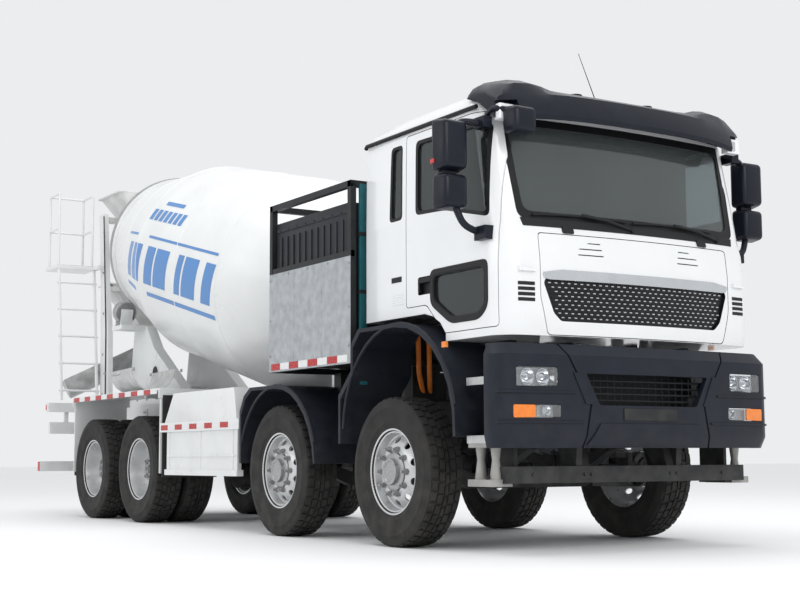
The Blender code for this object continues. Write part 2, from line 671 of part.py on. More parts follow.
def build_rear_tower():
    """Two posts from the subframe to the hopper, tied across the truck, with the chute's socket behind."""
    foot = SUBFRAME_TOP + SEAT_GAP
    shapes = []
    for side in SIDES.values():
        outline = [(TOWER_X[0] + 0.05, foot + 0.02), (TOWER_X[1] + 0.16, foot + 0.02),
                   (TOWER_X[1] + 0.12, foot + 0.9), (TOWER_X[1], foot + 1.5),
                   (TOWER_X[1] - 0.1, HOPPER_TOP - 0.25), (TOWER_X[0] - 0.1, HOPPER_TOP - 0.25),
                   (TOWER_X[0], foot + 1.4)]
        shapes.append(plate(outline, *reach(*TOWER_Y, side)))
        shapes.append(block((TOWER_X[0] + 0.06, TOWER_X[1] + 0.14), reach(0.20, TOWER_Y[1] - 0.01, side),
                            (foot, foot + 0.10)))
    shapes.append(block((TOWER_X[0] + 0.04, TOWER_X[1] + 0.12), (-TOWER_Y[0] - 0.02, TOWER_Y[0] + 0.02),
                        (foot, foot + 0.07)))
    shapes.append(rod((CHUTE_POST.x, 0, (foot + SOCKET_TOP) / 2), "Z", POST_RADIUS + 0.03, SOCKET_TOP - foot))
    shapes.append(block((CHUTE_POST.x, TOWER_X[0] + 0.07), (-0.06, 0.06), (foot + 0.005, foot + 0.18)))
    bore = rod((CHUTE_POST.x, 0, foot), "Z", POST_RADIUS + PIN_GAP, 2)
    piece("rear_tower", fuse(shapes[0], shapes[1:], [bore]), WHITE)


def within(span, wall):
    """A (low, high) pair with a wall taken off each end."""
    return span[0] + wall, span[1] - wall


def frustum(low_box, high_box, z):
    """A four-sided funnel body between two (x, y) boxes at two heights."""
    bm = bmesh.new()
    bmesh.ops.create_cube(bm, size=1)
    for vert in bm.verts:
        x, y = (high_box if vert.co.z > 0 else low_box)
        vert.co = Vector((x[vert.co.x > 0], y[vert.co.y > 0], z[vert.co.z > 0]))
    return from_bmesh(bm)


def build_charge_hopper():
    """The open funnel over the drum's mouth, with a throat that leans into it."""
    mouth = on_drum(MOUTH_AT)
    throat_x = (mouth.x - 0.36, mouth.x - 0.06)
    throat_z = mouth.z + 0.10
    top_y, low_y = (-0.56, 0.56), (-0.22, 0.22)
    w = HOPPER_WALL
    body = frustum((throat_x, low_y), (HOPPER_X, top_y), (throat_z, HOPPER_TOP))
    hollow = frustum((within(throat_x, w), within(low_y, w)), (within(HOPPER_X, w), within(top_y, w)),
                     (throat_z - 0.001, HOPPER_TOP + 0.001))
    ears = [block((TOWER_X[0] - 0.09, TOWER_X[1] - 0.11), (-TOWER_Y[0] + SEAT_GAP, TOWER_Y[0] - SEAT_GAP),
                  (HOPPER_TOP - 0.34, HOPPER_TOP - 0.28))]
    body = fuse(body, ears, [hollow])
    piece("charge_hopper", body, WHITE)


def build_discharge_hopper():
    """The funnel under the drum's mouth that leads concrete to the chute."""
    mouth = on_drum(MOUTH_AT, MOUTH_RADIUS)
    top_z = mouth.z + 0.10
    low_z = 2.30
    x = (TOWER_X[0] - 0.28, mouth.x - 0.03)
    low_x = (TOWER_X[0] - 0.22, TOWER_X[0] + 0.06)
    w = HOPPER_WALL
    body = frustum((low_x, (-0.18, 0.18)), (x, (-0.58, 0.58)), (low_z, top_z))
    hollow = frustum((within(low_x, w), (w - 0.18, 0.18 - w)), (within(x, w), (w - 0.58, 0.58 - w)),
                     (low_z - 0.001, top_z + 0.001))
    ears = [block((TOWER_X[0] + 0.02, TOWER_X[1]), (-TOWER_Y[0] + SEAT_GAP, TOWER_Y[0] - SEAT_GAP),
                  (top_z - 0.10, top_z - 0.04))]
    piece("discharge_hopper", fuse(body, ears, [hollow]), WHITE)


LADDER_Y = (-1.15, -0.71)
LADDER_FOOT = (AXLE_4 - 1.30, 1.345)
LADDER_HEAD = (AXLE_4 - 1.50, PLATFORM_TOP)
PLATFORM_X = (AXLE_4 - 1.90, AXLE_4 - 1.47)
STILE = 0.02


def build_ladder():
    """An access ladder up to a small railed platform beside the hopper."""
    shapes = []
    foot, head = LADDER_FOOT, LADDER_HEAD
    shapes.append(block(PLATFORM_X, (LADDER_Y[0] - 0.04, LADDER_Y[1] + 0.02),
                        (PLATFORM_TOP - 0.04, PLATFORM_TOP)))
    for y in LADDER_Y:
        shapes.append(bar((foot[0], y, foot[1]), (head[0], y, head[1] - 0.01), STILE))
    for i in range(5):
        x, z = Vector(foot).lerp(Vector(head), (i + 0.35) / 5)
        shapes.append(bar((x, LADDER_Y[0], z), (x, LADDER_Y[1], z), 0.014))
    top = PLATFORM_TOP + 0.90
    x0, x1 = PLATFORM_X[0] + 0.03, PLATFORM_X[1] - 0.05
    corners = [(x1, LADDER_Y[0]), (x0, LADDER_Y[0]), (x0, LADDER_Y[1] - 0.02), (x1, LADDER_Y[1] - 0.02)]
    for x, y in corners:
        shapes.append(bar((x, y, PLATFORM_TOP - 0.02), (x, y, top), 0.015))
    for z in (top - 0.015, PLATFORM_TOP + 0.45):
        for (xa, ya), (xb, yb) in zip(corners, corners[1:]):
            shapes.append(bar((xa, ya, z), (xb, yb, z), 0.014))
    arm = (-TOWER_Y[1] - SEAT_GAP)
    shapes.append(block((PLATFORM_X[1] - 0.06, TOWER_X[1] - 0.06), (LADDER_Y[1] - 0.02, arm),
                        (PLATFORM_TOP - 0.04, PLATFORM_TOP)))
    piece("ladder_platform", fuse(shapes[0], shapes[1:]), WHITE)


def chute_frame(place):
    """Chute directions: X along the trough and outwards, from straight back turned to the right."""
    return Matrix.Translation(place) @ Matrix.Rotation(pi + CHUTE_AZIMUTH, 4, "Z")


def build_chute_post(parent):
    """The swing arm: a column in its socket with a fork that carries the chute."""
    low = SUBFRAME_TOP + 0.01
    column = rod((CHUTE_POST.x, 0, (low + ARM_Z[1]) / 2), "Z", POST_RADIUS, ARM_Z[1] - low, 16)
    arm = block((-0.02, 0.16), (-0.30, 0.30), ARM_Z)
    arm.data.transform(chute_frame((CHUTE_POST.x, 0, 0)))
    fork = []
    for side in SIDES.values():
        ear = block((0.02, 0.14), reach(0.275, 0.30, side), (ARM_Z[0] + 0.01, CHUTE_PIN_Z + 0.04))
        ear.data.transform(chute_frame((CHUTE_POST.x, 0, 0)))
        fork.append(ear)
    bore = rod((CHUTE_PIN_X, 0, CHUTE_PIN_Z), "Y", CHUTE_PIN_RADIUS + PIN_GAP, 1, 12)
    bore.data.transform(chute_frame((CHUTE_POST.x, 0, 0)))
    piece("chute_post", fuse(column, [arm, *fork], [bore]), WHITE, parent)


def half_pipe(radius, wall, length, steps=8):
    """A trough along X from the origin, open upwards, with its axis at height zero."""
    outline = arc((0, 0), radius, 180, 360, steps) + arc((0, 0), radius - wall, 360, 180, steps)
    return plate(outline, 0, length, "YZ")


def build_main_chute(parent):
    """A half-round trough on a cross pin, sloping down to its lip."""
    trough = half_pipe(CHUTE_RADIUS, 0.012, CHUTE_LENGTH)
    trough.data.transform(Matrix.Translation((-0.16, 0, 0)))
    trough.data.transform(Matrix.Rotation(CHUTE_SLOPE, 4, "Y"))
    pins = [rod((0, side * (CHUTE_RADIUS + 0.022), 0), "Y", CHUTE_PIN_RADIUS, 0.07, 12)
            for side in SIDES.values()]
    solid = fuse(trough, pins)
    solid.data.transform(chute_frame((0, 0, 0)))
    solid.data.transform(Matrix.Translation(parent.matrix_world.translation))
    piece("main_chute", solid, WHITE, parent)


FENDER_TOP = 1.34
FENDER_X = (AXLE_4 - TYRE_RADIUS - 0.08, AXLE_3 + TYRE_RADIUS + 0.06)


def build_spare_chute():
    """The extension chute stowed on the right rear fender, open side up."""
    solid = half_pipe(CHUTE_RADIUS, 0.012, 0.85)
    solid.data.transform(Matrix.Rotation(radians(-6), 4, "Z"))
    solid.data.transform(Matrix.Translation((AXLE_3 - 0.95, -0.93, FENDER_TOP + CHUTE_RADIUS + SEAT_GAP)))
    piece("spare_chute", solid, WHITE)


# ---------------------------------------------------------------- fenders, guards, tail

GUARD_WALL = 0.03
GUARD_INNER_Y = 0.72


def build_rear_fenders():
    """Flat covers over the driven wheels on two cross tubes, with mud flaps behind and between."""
    shapes = []
    tubes = (FENDER_X[1] - 0.10, AXLE_3 - 0.62)
    for side in SIDES.values():
        cover = [(FENDER_X[0], FENDER_TOP - 0.10), (FENDER_X[0], FENDER_TOP), (FENDER_X[1], FENDER_TOP),
                 (FENDER_X[1], FENDER_TOP - 0.10), (FENDER_X[1] - 0.02, FENDER_TOP - 0.10),
                 (FENDER_X[1] - 0.02, FENDER_TOP - 0.02), (FENDER_X[0] + 0.02, FENDER_TOP - 0.02),
                 (FENDER_X[0] + 0.02, FENDER_TOP - 0.10)]
        shapes.append(plate(cover, *reach(0.56, HALF_WIDTH - 0.01, side)))
        for x in (FENDER_X[0] + 0.01, FENDER_X[1] - 0.03):
            shapes.append(block((x, x + 0.02), reach(0.60, HALF_WIDTH - 0.03, side),
                                (0.50, FENDER_TOP - 0.05)))
        for x in tubes:
            shapes.append(block((x - 0.03, x + 0.03), reach(RAIL_OUTER_Y + SEAT_GAP, 0.90, side),
                                (FENDER_TOP - 0.05, FENDER_TOP - 0.01)))
    for x in tubes:
        shapes.append(block((x - 0.03, x + 0.03), (-0.60, 0.60),
                            (SUBFRAME_TOP + SEAT_GAP, SUBFRAME_TOP + 0.045)))
    piece("rear_fenders", fuse(shapes[0], shapes[1:]), WHITE)


def build_side_guard(name, side):
    """The side box behind the second axle: a sloped upper panel over a lower guard panel."""
    x0, x1 = AXLE_2 - 2.40, AXLE_2 - 0.76
    upper = plate([(x0, 0.98), (x1, 0.98), (x1 - 0.06, 1.27), (x0 + 0.22, 1.27)], *reach(1.10, 1.24, side))
    rail = block((x0 - 0.10, x1 + 0.06), reach(1.08, 1.25, side), (0.90, 0.99))
    lower = block((x0 + 0.02, x1 - 0.02), reach(1.18, 1.22, side), (0.50, 0.93))
    foot = block((x0, x1), reach(1.17, 1.235, side), (0.486, 0.54))
    arms = [block((x - 0.03, x + 0.03), reach(RAIL_OUTER_Y + SEAT_GAP, 1.12, side), (0.92, 0.98))
            for x in (x0 + 0.25, x1 - 0.25)]
    piece(name, fuse(rail, [upper, lower, foot, *arms]), WHITE)


def build_mudguards(name, hub_x, crown, radius, lead, rear, front_z):
    """A pair of arched guards joined by a tube across the rails.

    Each has a round front, a flat crown and a rear wall through the (behind the hub, height) points.
    """
    w = GUARD_WALL
    centre = (hub_x + lead, crown - radius)
    drop = degrees(asin((front_z - centre[1]) / radius))
    back = [(hub_x - x, z) for x, z in rear]
    inside = [(x + w, z - w * (z > rear[0][1])) for x, z in back]
    outline = back + arc(centre, radius, 90, drop, 7) + arc(centre, radius - w, drop, 90, 7) + inside[::-1]
    y = (GUARD_INNER_Y, HALF_WIDTH)
    stay = (hub_x + 0.22, hub_x + 0.28)
    shapes = []
    for side in SIDES.values():
        shapes.append(plate(outline, *reach(*y, side)))
        shapes.append(block(stay, reach(y[0] - 0.03, y[0] + 0.05, side), (FRAME_TOP + 0.02, crown - 0.01)))
    shapes.append(block(stay, (-y[0] - 0.02, y[0] + 0.02), (FRAME_TOP + SEAT_GAP, FRAME_TOP + 0.05)))
    piece(name, fuse(shapes[0], shapes[1:]), CHARCOAL)


def build_tail_frame():
    """The full-width tail beam with its lamps, and the cross bar hung low under it."""
    x = (FRAME_REAR - 0.12, FRAME_REAR - SEAT_GAP)
    beam = block(x, (-1.22, 1.22), (1.21, 1.32))
    adds = [block(x, (-0.42, 0.42), (FRAME_BOTTOM + 0.02, 1.25))]
    adds.append(block((REAR_END, REAR_END + 0.05), (-1.20, 1.20), (0.50, 0.62)))
    for side in SIDES.values():
        adds.append(block((x[0], x[0] + 0.06), reach(0.80, 1.18, side), (0.95, 1.09)))
        adds.append(block((x[0] + 0.02, x[0] + 0.05), reach(0.95, 1.0, side), (1.0, 1.25)))
        hanger = [(REAR_END + 0.03, 0.52), (REAR_END + 0.14, 0.52), (x[1] - 0.01, 0.90), (x[0] + 0.01, 0.95)]
        adds.append(plate(hanger, *reach(RAIL_OUTER_Y - RAIL_FLANGE, RAIL_OUTER_Y - 0.015, side)))
    piece("tail_frame", fuse(beam, adds), WHITE)


# ---------------------------------------------------------------- front end on the chassis

BUMPER_TOP = 1.39
BUMPER_BOTTOM = 0.70
BUMPER_REAR = AXLE_1 + 1.20
NOSE = AXLE_1 + FRONT_OVERHANG


def rounded_plan(x_back, x_front, half, corner, steps=5, bow=0.0):
    """A plan outline with round front corners, symmetric about the truck's middle."""
    right = [(x_back, -half)] + arc((x_front - bow - corner, -half + corner), corner, -90, -15, steps)
    return right + [(x, -y) for x, y in reversed(right)]


def build_bumper():
    """The wrap-round bumper: a shell with lamp pockets and an open intake in the middle."""
    outline = rounded_plan(BUMPER_REAR, NOSE, HALF_WIDTH - 0.01, 0.15, bow=0.05)
    outline.insert(len(outline) // 2, (NOSE, 0.62))
    outline.insert(len(outline) // 2, (NOSE, -0.62))
    body = plate(outline, BUMPER_BOTTOM, BUMPER_TOP, "XY")
    cuts = [block((BUMPER_REAR - 0.1, NOSE - 0.16), (-1.17, 1.17), (0.5, 1.35))]
    cuts.append(block((NOSE - 0.5, NOSE + 0.1), (-0.56, 0.56), (0.98, 1.20)))
    mounts = [block((FRAME_FRONT + SEAT_GAP, NOSE - 0.12), reach(0.34, 0.42, side), (0.84, 0.94))
              for side in SIDES.values()]
    piece("bumper", fuse(fuse(body, cuts=cuts), mounts), CHARCOAL)


STEP_X = (AXLE_1 + 0.90, AXLE_1 + 1.17)
STEP_Y = (0.94, 1.16)
STEP_HEIGHTS = (0.45, 0.74, 1.13)
STEP_THICK = 0.04


def build_front_underrun():
    """A black beam low across the front on cast arms, which carry the entry steps and the cab's pivots."""
    x = (AXLE_1 + 1.06, AXLE_1 + 1.22)
    beam = block(x, (-1.08, 1.08), (0.467, 0.579))
    p = TILT_PIVOT
    adds = []
    for side in SIDES.values():
        adds.append(plate([(x[0] + 0.02, 0.55), (x[1] - 0.02, 0.55), (x[1] - 0.10, FRAME_BOTTOM - SEAT_GAP),
                           (x[0] - 0.18, FRAME_BOTTOM - SEAT_GAP)],
                          *reach(RAIL_OUTER_Y - RAIL_FLANGE, RAIL_OUTER_Y - 0.005, side)))
        adds.append(plate([(x[0] + 0.02, 0.55), (x[1] - 0.02, 0.55), (x[1] + 0.02, p.z - 0.035),
                           (p.x + 0.03, p.z - 0.035), (p.x + 0.03, p.z + 0.03), (FRAME_FRONT - 0.20, p.z + 0.03),
                           (FRAME_FRONT - 0.20, FRAME_BOTTOM + 0.06)],
                          *reach(RAIL_OUTER_Y + SEAT_GAP, TILT_ARM_Y[0] - 0.01, side)))
        adds.append(rod((p.x, side * (TILT_ARM_Y[1] - 0.02), p.z), "Y", TILT_PIN, 0.08, 12))
        adds.append(block((STEP_X[1] - 0.06, x[0] + 0.04), reach(*STEP_Y, side), (0.46, 0.52)))
        adds.append(block((STEP_X[0] + 0.01, STEP_X[1] - 0.01),
                          reach(STEP_Y[0] + 0.002, STEP_Y[0] + 0.03, side),
                          (STEP_HEIGHTS[0] + 0.01, STEP_HEIGHTS[-1] + 0.06)))
        for z in STEP_HEIGHTS:
            adds.append(block(STEP_X, reach(*STEP_Y, side), (z, z + STEP_THICK)))
    piece("front_underrun", fuse(beam, adds), BLACK)


# ---------------------------------------------------------------- cab

CAB_REAR = AXLE_1 - 0.50
CAB_ROOF = 3.20
FLOOR_TOP = 1.52
ARCH_CORNER = AXLE_1 + 0.627
ARCH_TOP_X = AXLE_1 + 0.36
ARCH_TOP = 1.66
CAB_NOSE = AXLE_1 + 1.385
DOOR_X = (AXLE_1 + 0.11, AXLE_1 + 1.225)
DOOR_Z = (1.50, 3.00)
TILT_PIVOT = Vector((AXLE_1 + 1.32, 0, 1.02))
TILT_PIN = 0.016
TILT_ARM_Y = (0.49, 0.52)
HINGE_AT = (DOOR_X[1] - DOOR_GAP - 0.005, CAB_HALF_WIDTH - 0.005)
HINGE_HEIGHTS = ((1.70, 1.77), (2.00, 2.07))
HINGE_RADIUS = 0.011


def cab_side_outline(grow=0.0):
    """The side view of the cab, or of its inside when grow is negative."""
    g = -grow
    low = 0.0 if grow == 0 else FLOOR_TOP - CAB_BOTTOM
    return [
        (ARCH_CORNER - g * 0.3, CAB_BOTTOM + low), (CAB_NOSE - 0.02 - g * 1.8, CAB_BOTTOM + low),
        (CAB_NOSE - g * 1.8, 1.60), (CAB_NOSE - g * 1.8, 1.95), (CAB_NOSE - 0.05 - g * 1.3, 2.20),
        (AXLE_1 + 1.18 - g, 2.98), (AXLE_1 + 1.06 - g, CAB_ROOF - 0.06 - g), (AXLE_1 + 0.85, CAB_ROOF - g),
        (AXLE_1 - 0.20, CAB_ROOF - 0.03 - g), (CAB_REAR + 0.09 + g * 0.5, CAB_ROOF - 0.10 - g * 0.9),
        (CAB_REAR + g, 3.00), (CAB_REAR + g, ARCH_TOP + low), (ARCH_TOP_X - g * 0.2, ARCH_TOP + low),
    ]


def cab_solid(grow=0.0):
    """The cab's outer body, or its inside when grow is negative."""
    half = CAB_HALF_WIDTH + grow
    body = plate(cab_side_outline(grow), -half, half)
    plan = plate(rounded_plan(CAB_REAR - 1, CAB_NOSE + grow * 0.1 + 0.001, half, 0.20, 6, 0.06), 0, 5, "XY")
    section = plate([(-half, 0), (half, 0), (half, 2.98 + grow * 0.5), (half - 0.12, CAB_ROOF + grow),
                     (-half + 0.12, CAB_ROOF + grow), (-half, 2.98 + grow * 0.5)],
                    AXLE_1 - 5, AXLE_1 + 5, "YZ")
    return fuse(body, keeps=[plan, section])


def shrunk(outline, gap):
    """The outline moved inwards by the gap. Its points run anticlockwise."""
    moved = []
    for i, point in enumerate(outline):
        before, after = Vector(outline[i - 1]), Vector(outline[(i + 1) % len(outline)])
        here = Vector(point)
        a, b = (here - before).normalized(), (after - here).normalized()
        na, nb = Vector((-a.y, a.x)), Vector((-b.y, b.x))
        corner = (na + nb) / (1 + na.dot(nb))
        moved.append(tuple(here + corner * gap))
    return moved


DOOR_OUTLINE = [
    (ARCH_CORNER - 0.02, DOOR_Z[0]), (DOOR_X[1], DOOR_Z[0]), (DOOR_X[1], 2.10),
    (DOOR_X[1] - 0.075, DOOR_Z[1]), (DOOR_X[0], DOOR_Z[1]), (DOOR_X[0], ARCH_TOP + 0.06),
    (ARCH_TOP_X + 0.02, ARCH_TOP + 0.06),
]
DOOR_WINDOW = [
    (AXLE_1 + 0.24, 2.39), (AXLE_1 + 0.62, 2.37), (AXLE_1 + 1.145, 2.25), (AXLE_1 + 1.10, 2.92),
    (AXLE_1 + 0.24, 2.94),
]
LOW_WINDOW = [
    (AXLE_1 + 0.70, 1.60), (AXLE_1 + 1.02, 1.60), (AXLE_1 + 1.10, 1.66), (AXLE_1 + 1.10, 1.93),
    (AXLE_1 + 0.47, 1.93), (AXLE_1 + 0.47, 1.74),
]
QUARTER_WINDOW = [
    (AXLE_1 - 0.12, 2.385), (AXLE_1 + 0.06, 2.385), (AXLE_1 + 0.06, 2.95), (AXLE_1 - 0.10, 2.95),
]
SCREEN_OUTLINE = [(-0.93, 2.26), (0.93, 2.26), (1.0, 2.96), (-1.0, 2.96)]
PANEL_HALF = 0.86
PANEL_Z = (CAB_BOTTOM + 0.006, 2.14)
PANEL_REAR = AXLE_1 + 1.30
PANEL_HINGE = Vector((PANEL_REAR + 0.027, 0, PANEL_Z[1] - 0.018))
PANEL_LUG_Y = (0.50, 0.56)
LUG_RADIUS = 0.010


def build_cab(parent):
    """The hollow cab: floor, back, roof and pillars, cut for doors, windows and the front panel."""
    shell = fuse(cab_solid(), cuts=[cab_solid(-CAB_WALL)])
    cuts = [plate(SCREEN_OUTLINE, AXLE_1 + 1.0, AXLE_1 + 2.0, "YZ")]
    cuts.append(block((PANEL_REAR, NOSE + 0.2), (-PANEL_HALF - 0.006, PANEL_HALF + 0.006),
                      (CAB_BOTTOM - 0.1, PANEL_Z[1] + 0.014)))
    for side in SIDES.values():
        span = reach(CAB_HALF_WIDTH - CAB_WALL - 0.05, CAB_HALF_WIDTH + 0.1, side)
        cuts.append(plate(DOOR_OUTLINE, *span))
        cuts.append(plate(QUARTER_WINDOW, *span))
    shell = fuse(shell, cuts=cuts)
    lugs, bores = cab_hinges()
    piece("cab_shell", fuse(shell, lugs, bores), WHITE, parent)


def cab_hinges():
    """The arms that the cab tilts on, and the lugs for its doors and its front panel."""
    lugs, bores = [], []
    p = TILT_PIVOT
    arm = [(p.x + 0.028, p.z - 0.012), (p.x + 0.028, p.z + 0.012), (p.x + 0.012, p.z + 0.028),
           (p.x - 0.11, p.z + 0.028),
           (p.x - 0.44, p.z + 0.20), (p.x - 0.49, CAB_BOTTOM + 0.02), (p.x - 0.56, CAB_BOTTOM + 0.02),
           (p.x - 0.50, p.z + 0.16), (p.x - 0.13, p.z - 0.028), (p.x + 0.012, p.z - 0.028)]
    for side in SIDES.values():
        lugs.append(plate(arm, *reach(*TILT_ARM_Y, side)))
        bores.append(rod((p.x, side * sum(TILT_ARM_Y) / 2, p.z), "Y", TILT_PIN + PIN_GAP, 0.1, 12))
        for low, high in HINGE_HEIGHTS:
            middle = (HINGE_AT[0], side * HINGE_AT[1], (low + high) / 2)
            lugs.append(rod(middle, "Z", HINGE_RADIUS, high - low, 12))
            lugs.append(block((HINGE_AT[0] - 0.005, DOOR_X[1] + 0.03),
                              reach(CAB_HALF_WIDTH - CAB_WALL - 0.01, HINGE_AT[1], side), (low, high)))
        h = PANEL_HINGE
        lugs.append(rod((h.x, side * sum(PANEL_LUG_Y) / 2, h.z), "Y", LUG_RADIUS,
                        PANEL_LUG_Y[1] - PANEL_LUG_Y[0], 12))
        lugs.append(block((PANEL_REAR - 0.01, h.x),
                          reach(PANEL_LUG_Y[0] + 0.001, PANEL_LUG_Y[1] - 0.001, side),
                          (h.z - 0.008, h.z + 0.008)))
    return lugs, bores


GLASS_THICK = 0.012


def build_windscreen(parent):
    """The laminated screen, set in its opening and sloped with the pillars."""
    front = [(CAB_NOSE - 0.05, 2.20), (AXLE_1 + 1.18, 2.98)]
    lean = [(front[0][0] - 0.012, 2.20), (front[1][0] - 0.012, 2.98), (front[1][0] - 0.04, 2.98),
            (front[0][0] - 0.04, 2.20)]
    slab = plate(lean, -1.2, 1.2)
    pane = fuse(slab, keeps=[plate(shrunk(SCREEN_OUTLINE, SEAT_GAP), AXLE_1 + 1.0, AXLE_1 + 2.0, "YZ")])
    piece("windscreen", pane, GLASS, parent)


def build_quarter_glass(name, side, parent):
    y = CAB_HALF_WIDTH - 0.02
    piece(name, plate(shrunk(QUARTER_WINDOW, SEAT_GAP), *reach(y - GLASS_THICK, y, side)), GLASS, parent)


def build_front_panel(parent):
    """The white service panel under the screen. It hinges at its top edge."""
    z0, z1 = PANEL_Z
    outline = [(PANEL_REAR + 0.015, z0), (CAB_NOSE - 0.005, z0), (CAB_NOSE, 1.60), (CAB_NOSE, 1.95),
               (CAB_NOSE - 0.035, z1), (PANEL_REAR + 0.015, z1)]
    body = plate(outline, -PANEL_HALF, PANEL_HALF)
    grille = block((CAB_NOSE - 0.03, CAB_NOSE + 0.1), (-0.80, 0.80), (1.55, 1.84))
    h = PANEL_HINGE
    notches = [block((PANEL_REAR, h.x + LUG_RADIUS + 0.003),
                     reach(PANEL_LUG_Y[0] - PIN_GAP, PANEL_LUG_Y[1] + PIN_GAP, side),
                     (h.z - LUG_RADIUS - 0.003, z1 + 0.1)) for side in SIDES.values()]
    piece("front_panel", fuse(body, cuts=[grille, *notches]), WHITE, parent)


def build_grille(parent):
    """The dark grille let into the front panel."""
    piece("grille", block((CAB_NOSE - 0.03 + SEAT_GAP, CAB_NOSE + 0.012), (SEAT_GAP - 0.80, 0.80 - SEAT_GAP),
                          (1.55 + SEAT_GAP, 1.84 - SEAT_GAP), 0.004), BLACK, parent)


def build_visor(parent):
    """The sun visor over the screen, with the lamp housings at its ends."""
    outline = [(AXLE_1 + 1.02, 3.222), (AXLE_1 + 1.20, 3.215), (AXLE_1 + 1.38, 2.98), (AXLE_1 + 1.37, 2.93),
               (AXLE_1 + 1.33, 2.95), (AXLE_1 + 1.20, 3.05)]
    body = plate(outline, -1.10, 1.10)
    cap = block((AXLE_1 + 0.90, AXLE_1 + 1.30), (-1.10, 1.10), (CAB_ROOF - 0.06, CAB_ROOF + 0.05))
    piece("sun_visor", fuse(body, [cap], [cab_solid(SEAT_GAP)]), CHARCOAL, parent)


def build_interior(parent):
    """Dashboard with the steering wheel, and two seats on the raised floor."""
    floor = FLOOR_TOP + SEAT_GAP
    wheel = Matrix.Translation((AXLE_1 + 0.72, 0.52, 2.16)) @ Matrix.Rotation(radians(-55), 4, "Y")
    dash = plate([(AXLE_1 + 0.86, floor + 0.25), (AXLE_1 + 1.12, floor + 0.25), (AXLE_1 + 1.12, 2.16),
                  (AXLE_1 + 0.95, 2.20), (AXLE_1 + 0.84, 2.08)], -1.02, 1.02)
    foot = block((AXLE_1 + 0.95, AXLE_1 + 1.08), (-0.35, 0.35), (floor, floor + 0.30))
    column = bar((AXLE_1 + 0.72, 0.52, 2.16), (AXLE_1 + 0.95, 0.52, 2.00), 0.03)
    rim = turned([(0.235, 0.015), (0.235, -0.015), (0.205, -0.015), (0.205, 0.015)],
                 wheel, 20, closed=True)
    spokes = block((-0.22, 0.22), (-0.03, 0.03), (-0.012, 0.012))
    spokes.data.transform(wheel)
    piece("dashboard", fuse(dash, [foot, column, rim, spokes]), CHARCOAL, parent)
    riser = block((AXLE_1 - 0.38, AXLE_1 + 0.50), (-0.95, 0.95), (ARCH_TOP + 0.08, ARCH_TOP + 0.20))
    adds = []
    for side in SIDES.values():
        y = reach(0.28, 0.78, side)
        adds.append(block((AXLE_1 - 0.10, AXLE_1 + 0.42), y, (ARCH_TOP + 0.15, ARCH_TOP + 0.50), 0.02))
        adds.append(block((AXLE_1 - 0.20, AXLE_1 - 0.04), reach(0.29, 0.77, side),
                          (ARCH_TOP + 0.30, ARCH_TOP + 1.05), 0.02))
    foot = block((AXLE_1 - 0.40, AXLE_1 + 0.30), (-0.9, 0.9),
                 (ARCH_TOP + (FLOOR_TOP - CAB_BOTTOM) + SEAT_GAP, ARCH_TOP + 0.12))
    piece("seats", fuse(foot, [riser, *adds]), CLOTH, parent)


def build_door(name, side, parent):
    """A door as thick as the cab wall, with its side window and low corner window cut out."""
    outline = shrunk(DOOR_OUTLINE, DOOR_GAP)
    skin = plate(outline, *reach(CAB_HALF_WIDTH - CAB_WALL, CAB_HALF_WIDTH, side))
    cuts = [plate(w, *reach(0.9, 1.4, side)) for w in (DOOR_WINDOW, LOW_WINDOW)]
    cuts += [block((HINGE_AT[0] - HINGE_RADIUS - 0.005, DOOR_X[1] + 0.1), reach(0.9, 1.4, side),
                   (low - PIN_GAP, high + PIN_GAP)) for low, high in HINGE_HEIGHTS]
    piece(f"door_{name}", fuse(skin, cuts=cuts), WHITE, parent)
    y = CAB_HALF_WIDTH - 0.02
    for label, window in (("door_glass", DOOR_WINDOW), ("low_glass", LOW_WINDOW)):
        pane = plate(shrunk(window, SEAT_GAP), *reach(y - GLASS_THICK, y, side))
        piece(f"{label}_{name}", pane, GLASS, parent)


def build_mirror(name, side, parent):
    """Main and wide-angle mirror housings on an upper arm and a lower bracket."""
    x = (AXLE_1 + 0.98, AXLE_1 + 1.12)
    y = reach(1.27, 1.50, side)
    face = CAB_HALF_WIDTH + SEAT_GAP
    body = block(x, y, (2.56, 2.90), 0.02)
    adds = [block(x, reach(1.28, 1.49, side), (2.28, 2.53), 0.02)]
    adds.append(block((x[0] + 0.04, x[1] - 0.04), reach(1.30, 1.38, side), (2.45, 2.62)))
    adds.append(block((x[0] + 0.03, x[0] + 0.10), reach(face, 1.40, side), (2.86, 2.93)))
    adds.append(tube([(AXLE_1 + 1.05, side * 1.35, 2.35), (AXLE_1 + 1.06, side * 1.33, 2.20),
                      (AXLE_1 + 1.15, side * (face + 0.03), 2.13)], 0.02))
    adds.append(block((AXLE_1 + 1.08, AXLE_1 + 1.20), reach(face, face + 0.05, side), (2.08, 2.17)))
    piece(f"mirror_{name}", fuse(body, adds), CHARCOAL, parent)


# ---------------------------------------------------------------- assembly

build_frame()
for number, x in ((1, AXLE_1), (2, AXLE_2)):
    build_front_axle(f"front_axle_{number}", x)
    for label, side in SIDES.items():
        kingpin = pivot(f"kingpin_{number}_{label}", (x, side * KINGPIN_Y, TYRE_RADIUS))
        build_knuckle(f"knuckle_{number}_{label}", x, side, kingpin)
        spin = pivot(f"hub_{number}_{label}", (x, side * FRONT_WHEEL_Y, TYRE_RADIUS), kingpin)
        build_front_wheel(f"wheel_{number}_{label}", x, side, spin)
for number, x, pinion in ((3, AXLE_3, 1), (4, AXLE_4, 1)):
    build_rear_axle(f"rear_axle_{number}", x, pinion)
    for label, side in SIDES.items():
        spin = pivot(f"hub_{number}_{label}", (x, side * TWIN_CENTRE_Y, TYRE_RADIUS))
        build_twin_wheel(f"wheel_{number}_{label}", x, side, spin)
build_rear_springs()
build_drive_line()
build_rack()
build_battery()

